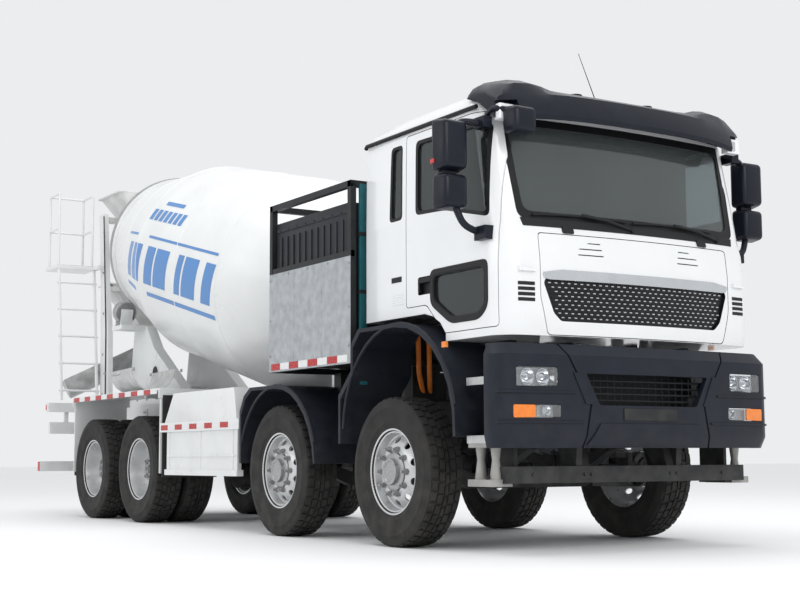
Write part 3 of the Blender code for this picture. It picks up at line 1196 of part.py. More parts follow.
build_subframe()
build_front_pedestal()
build_drum_gearbox()
build_drum(pivot("drum_axis", DRUM_FRONT))
build_rear_pedestal()
for label, side in SIDES.items():
    build_roller(f"roller_{label}", side, pivot(f"roller_axis_{label}", roller_centre(side)))
build_rear_tower()
build_charge_hopper()
build_discharge_hopper()
build_ladder()
slew = pivot("chute_slew", (CHUTE_POST.x, 0, ARM_Z[0]))
build_chute_post(slew)
pin = chute_frame((CHUTE_POST.x, 0, CHUTE_PIN_Z)) @ Vector((CHUTE_PIN_X, 0, 0))
build_main_chute(pivot("chute_pin", pin, slew))
build_spare_chute()

build_rear_fenders()
for label, side in SIDES.items():
    build_side_guard(f"side_guard_{label}", side)
build_mudguards("mudguards_1", AXLE_1, 1.61, 0.774, 0.107,
                [(0.72, 0.75), (0.72, 1.12), (0.53, 1.30), (0.53, 1.50), (0.42, 1.61)], 0.78)
build_mudguards("mudguards_2", AXLE_2, 1.25, 0.70, 0.0,
                [(0.68, 0.60), (0.68, 1.05), (0.60, 1.18), (0.48, 1.25)], 0.60)
build_tail_frame()
build_bumper()
build_front_underrun()

tilt = pivot("cab_tilt", TILT_PIVOT)
build_cab(tilt)
build_windscreen(tilt)
for label, side in SIDES.items():
    build_quarter_glass(f"quarter_glass_{label}", side, tilt)
build_visor(tilt)
build_interior(tilt)
flap = pivot("front_panel_hinge", PANEL_HINGE, tilt)
build_front_panel(flap)
build_grille(flap)
for label, side in SIDES.items():
    hinge = pivot(f"door_hinge_{label}", (HINGE_AT[0], side * HINGE_AT[1], DOOR_Z[0]), tilt)
    build_door(label, side, hinge)
    build_mirror(label, side, hinge)

bpy.data.collections.remove(bench)
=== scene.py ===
"""Looks of the concrete mixer truck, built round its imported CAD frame.

+X is forward, +Y the truck's left and +Z up, in metres. Sections follow the truck as it is put
together: the stage, the chassis and its wheels, the cab and its front, the rack, then the mixer.
"""

from math import cos, pi, radians, sin

import bmesh
import bpy
from mathutils import Matrix, Vector


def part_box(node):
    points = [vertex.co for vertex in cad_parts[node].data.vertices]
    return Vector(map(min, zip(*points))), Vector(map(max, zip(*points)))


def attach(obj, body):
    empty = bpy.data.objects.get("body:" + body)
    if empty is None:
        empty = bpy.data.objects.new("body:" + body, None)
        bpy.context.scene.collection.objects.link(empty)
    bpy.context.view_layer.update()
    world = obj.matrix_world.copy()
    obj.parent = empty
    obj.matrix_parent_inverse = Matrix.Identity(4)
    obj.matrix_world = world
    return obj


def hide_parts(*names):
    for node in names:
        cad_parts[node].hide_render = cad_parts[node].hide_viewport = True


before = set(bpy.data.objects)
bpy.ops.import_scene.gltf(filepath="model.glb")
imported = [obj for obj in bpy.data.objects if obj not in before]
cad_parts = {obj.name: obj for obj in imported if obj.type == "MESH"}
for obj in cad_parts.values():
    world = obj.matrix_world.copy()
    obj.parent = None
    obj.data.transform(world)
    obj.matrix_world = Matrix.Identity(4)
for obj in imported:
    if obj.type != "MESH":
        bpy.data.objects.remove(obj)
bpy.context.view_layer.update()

# ---------------------------------------------------------------- stage
# A pale studio floor under soft overhead and side lights. The camera stands low off the truck's
# right front corner, with a portrait lens.

CAMERA_AT = Vector((12.15, -6.575, 0.637))
CAMERA_LOOK = Vector((-0.8434, 0.5256, 0.112))
CAMERA_ROLL = radians(-0.26)

lens = bpy.data.cameras.new("studio_camera")
lens.lens = 63.2
lens.sensor_width = 36
lens.clip_end = 400
camera = bpy.data.objects.new("studio_camera", lens)
bpy.context.scene.collection.objects.link(camera)
camera.rotation_mode = "QUATERNION"
camera.rotation_quaternion = (CAMERA_LOOK.to_track_quat("-Z", "Y")
                              @ Matrix.Rotation(CAMERA_ROLL, 3, "Z").to_quaternion())
camera.location = CAMERA_AT
bpy.context.scene.camera = camera
bpy.context.scene.view_settings.view_transform = "Standard"

sky = bpy.data.worlds.new("studio_air")
sky.use_nodes = True
sky.node_tree.nodes["Background"].inputs["Color"].default_value = (0.97, 0.985, 1.0, 1)
sky.node_tree.nodes["Background"].inputs["Strength"].default_value = 0.86
bpy.context.scene.world = sky


def soft_light(name, place, aim, size, power, colour=(1, 1, 1)):
    """A square lamp of the given size that looks at a point."""
    lamp = bpy.data.lights.new(name, "AREA")
    lamp.shape = "RECTANGLE"
    lamp.size, lamp.size_y = size
    lamp.energy = power
    lamp.color = colour
    holder = bpy.data.objects.new(name, lamp)
    bpy.context.scene.collection.objects.link(holder)
    holder.location = place
    holder.rotation_mode = "QUATERNION"
    holder.rotation_quaternion = (Vector(aim) - Vector(place)).to_track_quat("-Z", "Y")


soft_light("overhead_bank", (1, 0, 11), (0, 0, 0), (14, 9), 520)
soft_light("front_bank", (14, -3, 7), (3, 0, 1.6), (7, 5), 380, (1, 0.99, 0.97))
soft_light("side_bank", (1, -13, 6), (0, 0, 1.5), (12, 4), 200, (0.97, 0.99, 1))

floor_mesh = bmesh.new()
bmesh.ops.create_circle(floor_mesh, cap_ends=True, segments=96, radius=120)
floor_data = bpy.data.meshes.new("studio_floor")
floor_mesh.to_mesh(floor_data)
floor_mesh.free()
floor = bpy.data.objects.new("studio_floor", floor_data)
bpy.context.scene.collection.objects.link(floor)
floor_paint = bpy.data.materials.new("studio_floor")
floor_paint.use_nodes = True
floor_shader = floor_paint.node_tree.nodes["Principled BSDF"]
floor_shader.inputs["Base Color"].default_value = (0.90, 0.90, 0.905, 1)
floor_shader.inputs["Roughness"].default_value = 0.9
floor_data.materials.append(floor_paint)

# ---------------------------------------------------------------- chassis frame
# Two C-section rails of pressed steel with bolted box cross members, all in satin black chassis
# paint that the road has dusted.


def finish(name, colour, rough, metallic=0.0, mottle=6.0, change=0.05, bump=0.03, grain=180.0, dust=0.0,
           coat=0.0, uneven=0.08, gloss=0.5):
    """Paint, plastic or metal: slightly mottled, with uneven gloss, a fine surface and dust low down."""
    material = bpy.data.materials.new(name)
    material.use_nodes = True
    nodes, links = material.node_tree.nodes, material.node_tree.links
    shader = nodes["Principled BSDF"]
    shader.inputs["Metallic"].default_value = metallic
    shader.inputs["Coat Weight"].default_value = coat
    shader.inputs["Coat Roughness"].default_value = 0.08
    shader.inputs["Specular IOR Level"].default_value = gloss
    place = nodes.new("ShaderNodeTexCoord")

    def noise(scale, detail):
        texture = nodes.new("ShaderNodeTexNoise")
        texture.inputs["Scale"].default_value = scale
        texture.inputs["Detail"].default_value = detail
        links.new(place.outputs["Object"], texture.inputs["Vector"])
        return texture.outputs["Fac"]

    def ranged(value, low, high, to_low, to_high):
        node = nodes.new("ShaderNodeMapRange")
        for socket, number in zip(("From Min", "From Max", "To Min", "To Max"), (low, high, to_low, to_high)):
            node.inputs[socket].default_value = number
        links.new(value, node.inputs["Value"])
        return node.outputs["Result"]

    def mixed(factor, first, second):
        node = nodes.new("ShaderNodeMix")
        node.data_type = "RGBA"
        links.new(factor, node.inputs["Factor"])
        for socket, colour_or_link in (("A", first), ("B", second)):
            target = [s for s in node.inputs if s.name == socket and s.type == "RGBA"][0]
            if isinstance(colour_or_link, tuple):
                target.default_value = (*colour_or_link, 1)
            else:
                links.new(colour_or_link, target)
        return [s for s in node.outputs if s.type == "RGBA"][0]

    patches = noise(mottle, 5)
    dark = tuple(c * (1 - change) for c in colour)
    light = tuple(min(1, c * (1 + change)) for c in colour)
    shade = mixed(ranged(patches, 0.35, 0.65, 0, 1), dark, light)
    if dust:
        split = nodes.new("ShaderNodeSeparateXYZ")
        links.new(place.outputs["Object"], split.inputs["Vector"])
        low_down = ranged(split.outputs["Z"], 0.25, 1.45, dust, dust * 0.12)
        spread = nodes.new("ShaderNodeMath")
        spread.operation = "MULTIPLY"
        links.new(low_down, spread.inputs[0])
        links.new(ranged(noise(9, 8), 0.38, 0.68, 0.25, 1), spread.inputs[1])
        shade = mixed(spread.outputs[0], shade, (0.34, 0.32, 0.29))
    links.new(shade, shader.inputs["Base Color"])
    links.new(ranged(patches, 0.3, 0.7, max(0.03, rough - uneven), min(1, rough + uneven)),
              shader.inputs["Roughness"])
    if bump:
        relief = nodes.new("ShaderNodeBump")
        relief.inputs["Strength"].default_value = bump
        relief.inputs["Distance"].default_value = 0.002
        links.new(noise(grain, 3), relief.inputs["Height"])
        links.new(relief.outputs["Normal"], shader.inputs["Normal"])
    return material


def piece(name, bm, body, paints, edge=0.0, stands_for=(), angle=32, rounds=2):
    """Turns a bmesh into a piece that rides on a body, with its sharp edges rounded."""
    bmesh.ops.remove_doubles(bm, verts=bm.verts, dist=0.00002)
    bmesh.ops.recalc_face_normals(bm, faces=bm.faces)
    mesh = bpy.data.meshes.new(name)
    bm.to_mesh(mesh)
    bm.free()
    thing = bpy.data.objects.new(name, mesh)
    bpy.context.scene.collection.objects.link(thing)
    for paint in (paints if isinstance(paints, (list, tuple)) else [paints]):
        mesh.materials.append(paint)
    mesh.shade_smooth()
    mesh.set_sharp_from_angle(angle=radians(angle))
    if edge:
        round_off = thing.modifiers.new("edges", "BEVEL")
        round_off.width = edge
        round_off.segments = rounds
        round_off.limit_method = "ANGLE"
        round_off.angle_limit = radians(30)
        round_off.harden_normals = True
    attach(thing, body)
    if stands_for:
        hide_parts(*stands_for)
    return thing


def solid_of(*names):
    """A merged copy of CAD solids, with each flat made one face, ready for details."""
    bm = bmesh.new()
    for name in names:
        bm.from_mesh(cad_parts[name].data)
    bmesh.ops.remove_doubles(bm, verts=bm.verts, dist=0.00002)
    bmesh.ops.dissolve_limit(bm, angle_limit=radians(0.4), verts=bm.verts, edges=bm.edges)
    for face in bm.faces:
        face.material_index = 0
    return bm


def painted(verts, paint):
    """Gives every face round these points its paint."""
    for face in {face for vert in verts for face in vert.link_faces}:
        face.material_index = paint


def add_part(bm, part, paint=0, matrix=Matrix()):
    """Paints a mesh made on its own, puts it in place and adds it to another, which uses it up."""
    bmesh.ops.transform(part, matrix=matrix, verts=part.verts)
    painted(part.verts, paint)
    mesh = bpy.data.meshes.new("part")
    part.to_mesh(mesh)
    part.free()
    bm.from_mesh(mesh)
    bpy.data.meshes.remove(mesh)


def add_block(bm, x, y, z, paint=0, turn=None):
    """A box between (low, high) pairs, turned about its own middle if a matrix is given."""
    size = Vector((x[1] - x[0], y[1] - y[0], z[1] - z[0]))
    middle = Vector((x[0] + x[1], y[0] + y[1], z[0] + z[1])) / 2
    matrix = Matrix.Translation(middle) @ (turn or Matrix()) @ Matrix.Diagonal((*size, 1))
    painted(bmesh.ops.create_cube(bm, size=1, matrix=matrix)["verts"], paint)


def add_rod(bm, start, end, radius, sides=16, end_radius=None, paint=0):
    """A round bar or cone from one point to another."""
    start, end = Vector(start), Vector(end)
    turn = (end - start).to_track_quat("Z", "Y").to_matrix().to_4x4()
    made = bmesh.ops.create_cone(bm, cap_ends=True, segments=sides, radius1=radius,
                                 radius2=radius if end_radius is None else end_radius,
                                 depth=(end - start).length, matrix=Matrix.Translation((start + end) / 2) @ turn)
    painted(made["verts"], paint)


def add_turned(bm, profile, matrix=Matrix(), steps=48, paint=0, closed=False):
    """A (radius, height) profile spun round Z, then put in place by the matrix."""
    part = bmesh.new()
    points = [part.verts.new((radius, 0, height)) for radius, height in profile]
    edges = [part.edges.new(pair) for pair in zip(points, points[1:])]
    if closed:
        edges.append(part.edges.new((points[-1], points[0])))
    bmesh.ops.spin(part, geom=points + edges, cent=(0, 0, 0), axis=(0, 0, 1), angle=2 * pi, steps=steps,
                   use_merge=True)
    add_part(bm, part, paint, matrix)


def add_plate(bm, outline, low, high, plane="XZ", paint=0):
    """A flat outline in XZ, YZ or XY, extruded from low to high along the third axis."""
    lay = {"XZ": lambda a, b, c: (a, c, b), "YZ": lambda a, b, c: (c, a, b), "XY": lambda a, b, c: (a, b, c)}[plane]
    face = bm.faces.new([bm.verts.new(lay(a, b, low)) for a, b in outline])
    grown = bmesh.ops.extrude_face_region(bm, geom=[face], use_keep_orig=True)
    moved = [v for v in grown["geom"] if isinstance(v, bmesh.types.BMVert)]
    bmesh.ops.translate(bm, vec=Vector(lay(0, 0, high - low)), verts=moved)
    painted(list(face.verts) + moved, paint)


def add_tube(bm, points, radius, paint=0, sides=4, bend=0.0):
    """A round tube through points, with its corners rounded by the bend radius."""
    path = [Vector(points[0])]
    for before, here, after in zip(points, points[1:], points[2:]):
        before, here, after = Vector(before), Vector(here), Vector(after)
        back = min(bend, (before - here).length / 2, (after - here).length / 2)
        one, two = here + (before - here).normalized() * back, here + (after - here).normalized() * back
        path += [here] if back < 0.001 else [one.lerp(here, s).lerp(here.lerp(two, s), s)
                                             for s in (0, 0.25, 0.5, 0.75, 1)]
    path.append(Vector(points[-1]))
    curve = bpy.data.curves.new("tube", "CURVE")
    curve.dimensions = "3D"
    curve.bevel_depth = radius
    curve.bevel_resolution = sides
    curve.use_fill_caps = True
    spline = curve.splines.new("POLY")
    spline.points.add(len(path) - 1)
    for point, place in zip(spline.points, path):
        point.co = (*place, 1)
    maker = bpy.data.objects.new("tube", curve)
    bpy.context.scene.collection.objects.link(maker)
    mesh = bpy.data.meshes.new_from_object(maker.evaluated_get(bpy.context.evaluated_depsgraph_get()))
    part = bmesh.new()
    part.from_mesh(mesh)
    add_part(bm, part, paint)
    bpy.data.objects.remove(maker)
    bpy.data.curves.remove(curve)
    bpy.data.meshes.remove(mesh)


def add_bolts(bm, places, direction, radius=0.012, height=0.010, paint=0):
    """Hexagon heads standing on a face."""
    for place in places:
        place = Vector(place)
        add_rod(bm, place, place + Vector(direction) * height, radius, 6, radius * 0.93, paint)


def sides_of(low, high, side):
    """A (low, high) pair of distances from the middle, on the right or the left."""
    return (low, high) if side > 0 else (-high, -low)


def angles(count, start=0.0):
    """The angles that share a full turn evenly, from a start given in steps."""
    return [2 * pi * (k + start) / count for k in range(count)]


SIDES = {"right": -1, "left": 1}
BOTH = (-1, 1)
FRONT_AXLES = ((1, 3.42), (2, 1.62))
REAR_AXLES = ((3, -1.53), (4, -2.88))
TANDEM_X = -2.205
BODY_Y = 1.235
TYRE_R = 0.541
TYRE_HALF = 0.15
CHASSIS_BLACK = finish("chassis_black", (0.012, 0.013, 0.015), 0.48, mottle=5, change=0.2, bump=0.08, dust=0.12,
                       gloss=0.3)
RAIL_Y = 0.43

rails = solid_of("chassis_frame")
for side in BOTH:
    for x in (4.1, 2.9, 2.45, 0.5, 0.3, -0.3, -1.1, -1.9, -2.5, -3.3, -4.0):
        add_bolts(rails, [(x + dx, side * RAIL_Y, z) for dx in (-0.04, 0.04) for z in (0.86, 0.94, 1.02)],
                  (0, side, 0))
piece("frame_rails", rails, "chassis", CHASSIS_BLACK, 0.004, stands_for=["chassis_frame"])

# ---------------------------------------------------------------- springs, beams and driven axles
# Forged front beams hang under flat leaf packs; the driven axles sit under two long leaf packs that
# rock on a cross shaft. U-bolts clamp each pack, and brake chambers stand behind the axles.

SPRING_Y = 0.39
for number, axle_x in FRONT_AXLES:
    beam = solid_of(f"front_axle_{number}")
    for side in BOTH:
        y = side * SPRING_Y
        for along in (-0.08, 0.08):
            for across in (-0.052, 0.052):
                add_rod(beam, (axle_x + along, y + across, 0.46), (axle_x + along, y + across, 0.70), 0.009, 10)
        add_block(beam, (axle_x - 0.11, axle_x + 0.11), (y - 0.065, y + 0.065), (0.665, 0.685))
        add_rod(beam, (axle_x - 0.10, side * 0.62, 0.62), (axle_x - 0.30, side * 0.62, 0.62), 0.085, 24)
        add_rod(beam, (axle_x - 0.30, side * 0.62, 0.62), (axle_x - 0.33, side * 0.62, 0.62), 0.07, 24)
        add_rod(beam, (axle_x + 0.12, side * 0.50, 0.52), (axle_x + 0.16, side * 0.47, 0.86), 0.03, 16)
    piece(f"beam_axle_{number}", beam, "chassis", CHASSIS_BLACK, 0.004, stands_for=[f"front_axle_{number}"])

CAST_STEEL = finish("cast_steel", (0.16, 0.16, 0.165), 0.55, 0.75, mottle=12, change=0.2, bump=0.25, grain=90,
                    dust=0.35)
for number, axle_x in REAR_AXLES:
    housing = solid_of(f"rear_axle_{number}")
    add_bolts(housing, [(axle_x + 0.18 * cos(a), 0.10, TYRE_R + 0.18 * sin(a)) for a in angles(14)],
              (0, 1, 0), 0.011)
    for side in BOTH:
        add_rod(housing, (axle_x - 0.14, side * 0.42, 0.66), (axle_x - 0.32, side * 0.42, 0.70), 0.08, 24)
        add_rod(housing, (axle_x - 0.32, side * 0.42, 0.70), (axle_x - 0.36, side * 0.42, 0.71), 0.065, 24)
    piece(f"driven_axle_{number}", housing, "chassis", CHASSIS_BLACK, 0.005, stands_for=[f"rear_axle_{number}"])

packs = solid_of("rear_springs")
for side in BOTH:
    for end in (-1, 1):
        for leaf in range(5):
            half = 0.66 - leaf * 0.09
            x = sorted((TANDEM_X + end * 0.13, TANDEM_X + end * half))
            add_block(packs, x, sides_of(0.452, 0.548, side), (0.655 + leaf * 0.022, 0.672 + leaf * 0.022))
    for along in (-0.085, 0.085):
        for across in (0.445, 0.555):
            x, y = TANDEM_X + along, side * across
            add_rod(packs, (x, y, 0.50), (x, y, 0.80), 0.010, 10)
piece("leaf_packs", packs, "chassis", CHASSIS_BLACK, 0.003, stands_for=["rear_springs"])

driveline = solid_of("drive_line")
for rib in range(7):
    x = -0.05 + rib * 0.11
    add_block(driveline, (x, x + 0.012), (-0.292, 0.292), (0.53, 1.045))
MOTOR_GREY = finish("motor_casting", (0.30, 0.31, 0.32), 0.5, 0.6, mottle=14, change=0.12, bump=0.2, grain=120,
                    dust=0.3)
piece("motor_and_shaft", driveline, "chassis", MOTOR_GREY, 0.006, stands_for=["drive_line"])

for number in (1, 2):
    for label, side in SIDES.items():
        knuckle = f"knuckle_{number}_{label}"
        piece(f"steering_{knuckle}", solid_of(knuckle), knuckle, CAST_STEEL, 0.005,
              stands_for=[knuckle])

# ---------------------------------------------------------------- wheels
# 22.5 inch steel disc wheels in silver enamel with ten round hand holes and ten studs, on radial
# tyres with three grooves and cross sipes. The front discs bulge outwards, the rear twins are dished.

TREAD_DEEP = 0.013
TWIN_GAP = 0.345
STUD_RING = 0.1675
RUBBER = finish("tyre_rubber", (0.017, 0.016, 0.016), 0.78, mottle=8, change=0.25, bump=0.12, grain=260, dust=0.09,
                uneven=0.1, gloss=0.3)
WHEEL_SILVER = finish("wheel_silver", (0.62, 0.63, 0.64), 0.34, 0.55, mottle=10, change=0.06, bump=0.05, grain=220,
                      dust=0.20)
STUD_STEEL = finish("stud_steel", (0.40, 0.40, 0.41), 0.38, 0.9, mottle=60, change=0.15, bump=0.1, grain=300,
                    dust=0.15)


def add_tyre(bm, matrix, paint=0):
    """Sidewalls with a bead, ribs and a buttress, and a tread of staggered blocks cut by grooves."""
    floor_r = TYRE_R - TREAD_DEEP
    ribs = (-0.122, -0.078, -0.066, -0.024, -0.012, 0.012, 0.024, 0.066, 0.078, 0.122)
    side = [(0.292, 0.105), (0.300, 0.118), (0.318, 0.121), (0.345, 0.134), (0.352, 0.139), (0.360, 0.138),
            (0.400, 0.146), (0.452, 0.148), (0.462, 0.151), (0.468, 0.148), (0.500, 0.143), (0.518, 0.137),
            (floor_r, 0.128)]
    profile = [(r, -h) for r, h in side] + [(floor_r, h) for h in ribs] + [(r, h) for r, h in reversed(side)]
    steps, part = 168, bmesh.new()
    add_turned(part, profile, steps=steps)
    lugs = []
    for face in part.faces:
        middle = face.calc_center_median()
        along = abs(middle.z)
        if middle.to_2d().length < floor_r - 0.004 or along > 0.123:
            continue
        in_rib = along < 0.012 or 0.024 < along < 0.066 or 0.078 < along
        step = round(Vector((1, 0)).angle_signed(middle.to_2d(), 0) / (2 * pi) * steps - 0.5)
        shift = 0 if along < 0.012 else 1 if along < 0.066 else 2
        if in_rib and (step + shift) % 4 != 0:
            lugs.append(face)
    grown = bmesh.ops.extrude_face_region(part, geom=lugs)
    for vert in (v for v in grown["geom"] if isinstance(v, bmesh.types.BMVert)):
        grow = (TYRE_R - (0.003 if abs(vert.co.z) > 0.12 else 0)) / vert.co.to_2d().length
        vert.co.x *= grow
        vert.co.y *= grow
    bmesh.ops.delete(part, geom=lugs, context="FACES_ONLY")
    add_part(bm, part, paint, matrix)


def carved(name, bm, cutters, operation="DIFFERENCE"):
    """What is left of a mesh after it is cut by, or kept inside, another. Both keep their paints."""
    made = []
    for part, shape in (("whole", bm), ("cut", cutters)):
        bmesh.ops.remove_doubles(shape, verts=shape.verts, dist=0.00002)
        bmesh.ops.recalc_face_normals(shape, faces=shape.faces)
        mesh = bpy.data.meshes.new(part)
        shape.to_mesh(mesh)
        shape.free()
        for _ in range(4):
            mesh.materials.append(None)
        made.append(bpy.data.objects.new(part, mesh))
        bpy.context.scene.collection.objects.link(made[-1])
    cut = made[0].modifiers.new(name, "BOOLEAN")
    cut.operation = operation
    cut.use_self = True
    cut.object = made[1]
    mesh = bpy.data.meshes.new_from_object(made[0].evaluated_get(bpy.context.evaluated_depsgraph_get()))
    for thing in made:
        bpy.data.objects.remove(thing)
    result = bmesh.new()
    result.from_mesh(mesh)
    return result


def disc_mesh(front):
    """One wheel disc and rim about Z, its outer side up, with its hand holes cut."""
    rim = [(0.300, 0.118), (0.312, 0.121), (0.316, 0.112), (0.300, 0.106), (0.283, 0.100), (0.272, 0.04)]
    if front:
        disc = [(0.262, 0.035), (0.235, 0.068), (0.20, 0.093), (0.175, 0.104), (0.150, 0.105), (0.142, 0.100),
                (0.142, 0.090), (0.175, 0.090), (0.198, 0.080), (0.230, 0.054), (0.255, 0.015)]
        hole_at, hole_tilt, hole_r = 0.222, 35, 0.028
    else:
        disc = [(0.262, -0.02), (0.245, -0.055), (0.225, -0.098), (0.205, -0.118), (0.180, -0.125), (0.142, -0.125),
                (0.142, -0.140), (0.190, -0.140), (0.215, -0.130), (0.240, -0.100), (0.258, -0.03)]
        hole_at, hole_tilt, hole_r = 0.232, 60, 0.030
    back = [(0.272, -0.06), (0.290, -0.105), (0.300, -0.118), (0.316, -0.120), (0.294, -0.098), (0.284, -0.06),
            (0.284, 0.06), (0.290, 0.098)]
    bm = bmesh.new()
    add_turned(bm, rim + disc + back, steps=80, closed=True)
    holes = bmesh.new()
    for a in angles(10, 0.5):
        out = Vector((cos(a), sin(a), 0))
        middle = out * hole_at + Vector((0, 0, 0.065 if front else -0.085))
        lean = out * sin(radians(hole_tilt)) + Vector((0, 0, cos(radians(hole_tilt))))
        add_rod(holes, middle - lean * 0.045, middle + lean * 0.045, hole_r, 20)
    return carved("hand_holes", bm, holes)


def add_wheel_centre(bm, matrix, front, paint):
    """The hub and its cap in the middle, and ten studs with their nuts."""
    face = 0.105 if front else -0.125
    part = bmesh.new()
    if front:
        hub = [(0.14, 0.03), (0.14, 0.112), (0.125, 0.120), (0.098, 0.122), (0.094, 0.150), (0.080, 0.153),
               (0.074, 0.153), (0.070, 0.147), (0, 0.147)]
    else:
        hub = [(0.14, -0.16), (0.14, -0.112), (0.128, -0.104), (0.118, 0.0), (0.112, 0.012), (0.095, 0.014),
               (0.090, 0.004), (0.045, 0.004), (0.042, -0.010), (0, -0.010)]
    add_turned(part, hub, steps=40, paint=paint)
    for a in angles(10):
        x, y = STUD_RING * cos(a), STUD_RING * sin(a)
        add_rod(part, (x, y, face), (x, y, face + 0.006), 0.024, 20, paint=paint)
        add_rod(part, (x, y, face + 0.006), (x, y, face + 0.030), 0.0185, 6, 0.0175, paint)
        add_rod(part, (x, y, face + 0.030), (x, y, face + 0.048), 0.010, 10, paint=paint)
    if not front:
        add_bolts(part, [(0.078 * cos(a), 0.078 * sin(a), 0.006) for a in angles(8)],
                  (0, 0, 1), 0.010, 0.012, paint)
    add_part(bm, part, paint, matrix)


disc_stock = {True: disc_mesh(True), False: disc_mesh(False)}
for number, axle_x in FRONT_AXLES + REAR_AXLES:
    front = number < 3
    for label, side in SIDES.items():
        out = Matrix.Rotation(-side * pi / 2, 4, "X")
        rows = [(BODY_Y - TYRE_HALF, 1)] + ([] if front else [(BODY_Y - TYRE_HALF - TWIN_GAP, -1)])
        tyres, discs = bmesh.new(), bmesh.new()
        for y, face in rows:
            centre = Matrix.Translation((axle_x, side * y, TYRE_R))
            turn = centre @ (out if face > 0 else out @ Matrix.Rotation(pi, 4, "X"))
            add_tyre(tyres, turn)
            add_part(discs, disc_stock[front].copy(), 0, turn)
            if face > 0:
                add_wheel_centre(discs, turn, front, 1)
        body = f"wheel_{number}_{label}"
        piece(f"tyre_{number}_{label}", tyres, body, RUBBER, stands_for=[body], angle=28)
        piece(f"disc_wheel_{number}_{label}", discs, body, [WHEEL_SILVER, STUD_STEEL], angle=30)

# ---------------------------------------------------------------- cab shell
# A pressed-steel cab in white enamel, lofted from plan sections: square sides, round front corners
# that lean with the screen, and a crowned roof. Its inside is lined with charcoal trim.

CAB_WHITE = finish("cab_white", (0.80, 0.81, 0.82), 0.22, mottle=3, change=0.015, bump=0.015, grain=300, dust=0.05,
                   coat=0.6, uneven=0.05)
LINING = finish("cab_lining", (0.035, 0.036, 0.04), 0.8, mottle=8, change=0.2, bump=0.2, grain=240)
FRONT_X = ((1.40, 4.782), (1.50, 4.797), (1.62, 4.805), (1.95, 4.803), (2.12, 4.783), (2.22, 4.752), (2.60, 4.677),
           (2.96, 4.603), (3.04, 4.575), (3.10, 4.535), (3.15, 4.470), (3.18, 4.380), (3.20, 4.200))
REAR_X = ((1.40, 2.920), (2.98, 2.920), (3.04, 2.935), (3.09, 2.975), (3.13, 3.050), (3.16, 3.160), (3.20, 3.500))
HALF_Y = ((1.40, 1.150), (2.35, 1.150), (2.90, 1.143), (3.00, 1.138), (3.06, 1.125), (3.11, 1.100), (3.15, 1.060),
          (3.18, 1.000), (3.20, 0.880))
CAB_LEVELS = [1.446, 1.50, 1.56, 1.62, 1.78, 1.95, 2.03, 2.12, 2.17, 2.22, 2.35, 2.60, 2.80, 2.96, 3.00, 3.04, 3.07,
              3.10, 3.13, 3.155, 3.175, 3.19, 3.20]


def along(table, at):
    """The value between two entries of a table of (place, value) pairs."""
    for (a, low), (b, high) in zip(table, table[1:]):
        if at <= b:
            return low + (high - low) * max(0, at - a) / (b - a)
    return table[-1][1]


def cab_plan(z, inset):
    """The cab's outline seen from above at one height, moved inwards by the inset."""
    front, rear, half = along(FRONT_X, z) - inset, along(REAR_X, z) + inset, along(HALF_Y, z) - inset
    radius, bow = 0.19 - inset * 0.5, 0.062
    centre = (front - bow - radius, half - radius)
    right = [(rear, 0.0), (rear, half - 0.05), (rear + 0.015, half - 0.015), (rear + 0.05, half), (3.6, half),
             (centre[0] - 0.08, half)]
    right += [(centre[0] + radius * sin(a), centre[1] + radius * cos(a))
              for a in (radians(78) * i / 12 for i in range(13))]
    edge_x, edge_y = right[-1]
    right += [(edge_x + (front - edge_x) * (1 - (1 - s) ** 2), edge_y * (1 - s))
              for s in (0.15, 0.32, 0.5, 0.7, 0.85)]
    return [(x, -y) for x, y in right] + [(front, 0.0)] + [(x, y) for x, y in reversed(right[1:])]


def lofted(rings, paint=0):
    """A closed form through rings of as many points, with flat ends."""
    bm = bmesh.new()
    loops = []
    for points in rings:
        ring = [bm.verts.new(point) for point in points]
        loops.append([bm.edges.new((a, b)) for a, b in zip(ring, ring[1:] + ring[:1])])
    for one, two in zip(loops, loops[1:]):
        bmesh.ops.bridge_loops(bm, edges=one + two)
    bmesh.ops.contextual_create(bm, geom=loops[0])
    bmesh.ops.contextual_create(bm, geom=loops[-1])
    bmesh.ops.recalc_face_normals(bm, faces=bm.faces)
    painted(bm.verts, paint)
    return bm


def cab_body(inset, paint=0, floor=None):
    """The closed form of the cab, or of the room inside it."""
    if floor is None:
        levels = [(z, z - inset * (z > 3.19)) for z in CAB_LEVELS]
    else:
        levels = [(floor, floor)] + [(z, z) for z in CAB_LEVELS if floor < z < 3.18 - inset]
    return lofted([[(x, y, height) for x, y in cab_plan(z, inset)] for z, height in levels], paint)


def rounded(outline, radius, steps=4, grow=0.0):
    """The outline with round corners, grown outwards first. Its points run anticlockwise."""
    moved = []
    for i, here in enumerate(outline):
        before, here, after = (Vector(outline[(i + k) % len(outline)]) for k in (-1, 0, 1))
        a, b = (here - before).normalized(), (after - here).normalized()
        na, nb = Vector((a.y, -a.x)), Vector((b.y, -b.x))
        moved.append(here + (na + nb) / (1 + na.dot(nb)) * grow)
    points = []
    for i, here in enumerate(moved):
        before, after = moved[i - 1], moved[(i + 1) % len(moved)]
        back = min(radius, (before - here).length * 0.48, (after - here).length * 0.48)
        one, two = here + (before - here).normalized() * back, here + (after - here).normalized() * back
        for step in range(steps + 1):
            s = step / steps
            points.append(tuple(one.lerp(here, s).lerp(here.lerp(two, s), s)))
    return points


def prism(outline, low, high, plane, paint=0):
    """An extruded outline as a mesh of its own, to cut with or to keep what is inside."""
    bm = bmesh.new()
    add_plate(bm, outline, low, high, plane, paint)
    return bm


def kept(*shapes):
    """What lies inside all of the shapes."""
    result = shapes[0]
    for other in shapes[1:]:
        result = carved("keep", result, other, "INTERSECT")
    return result


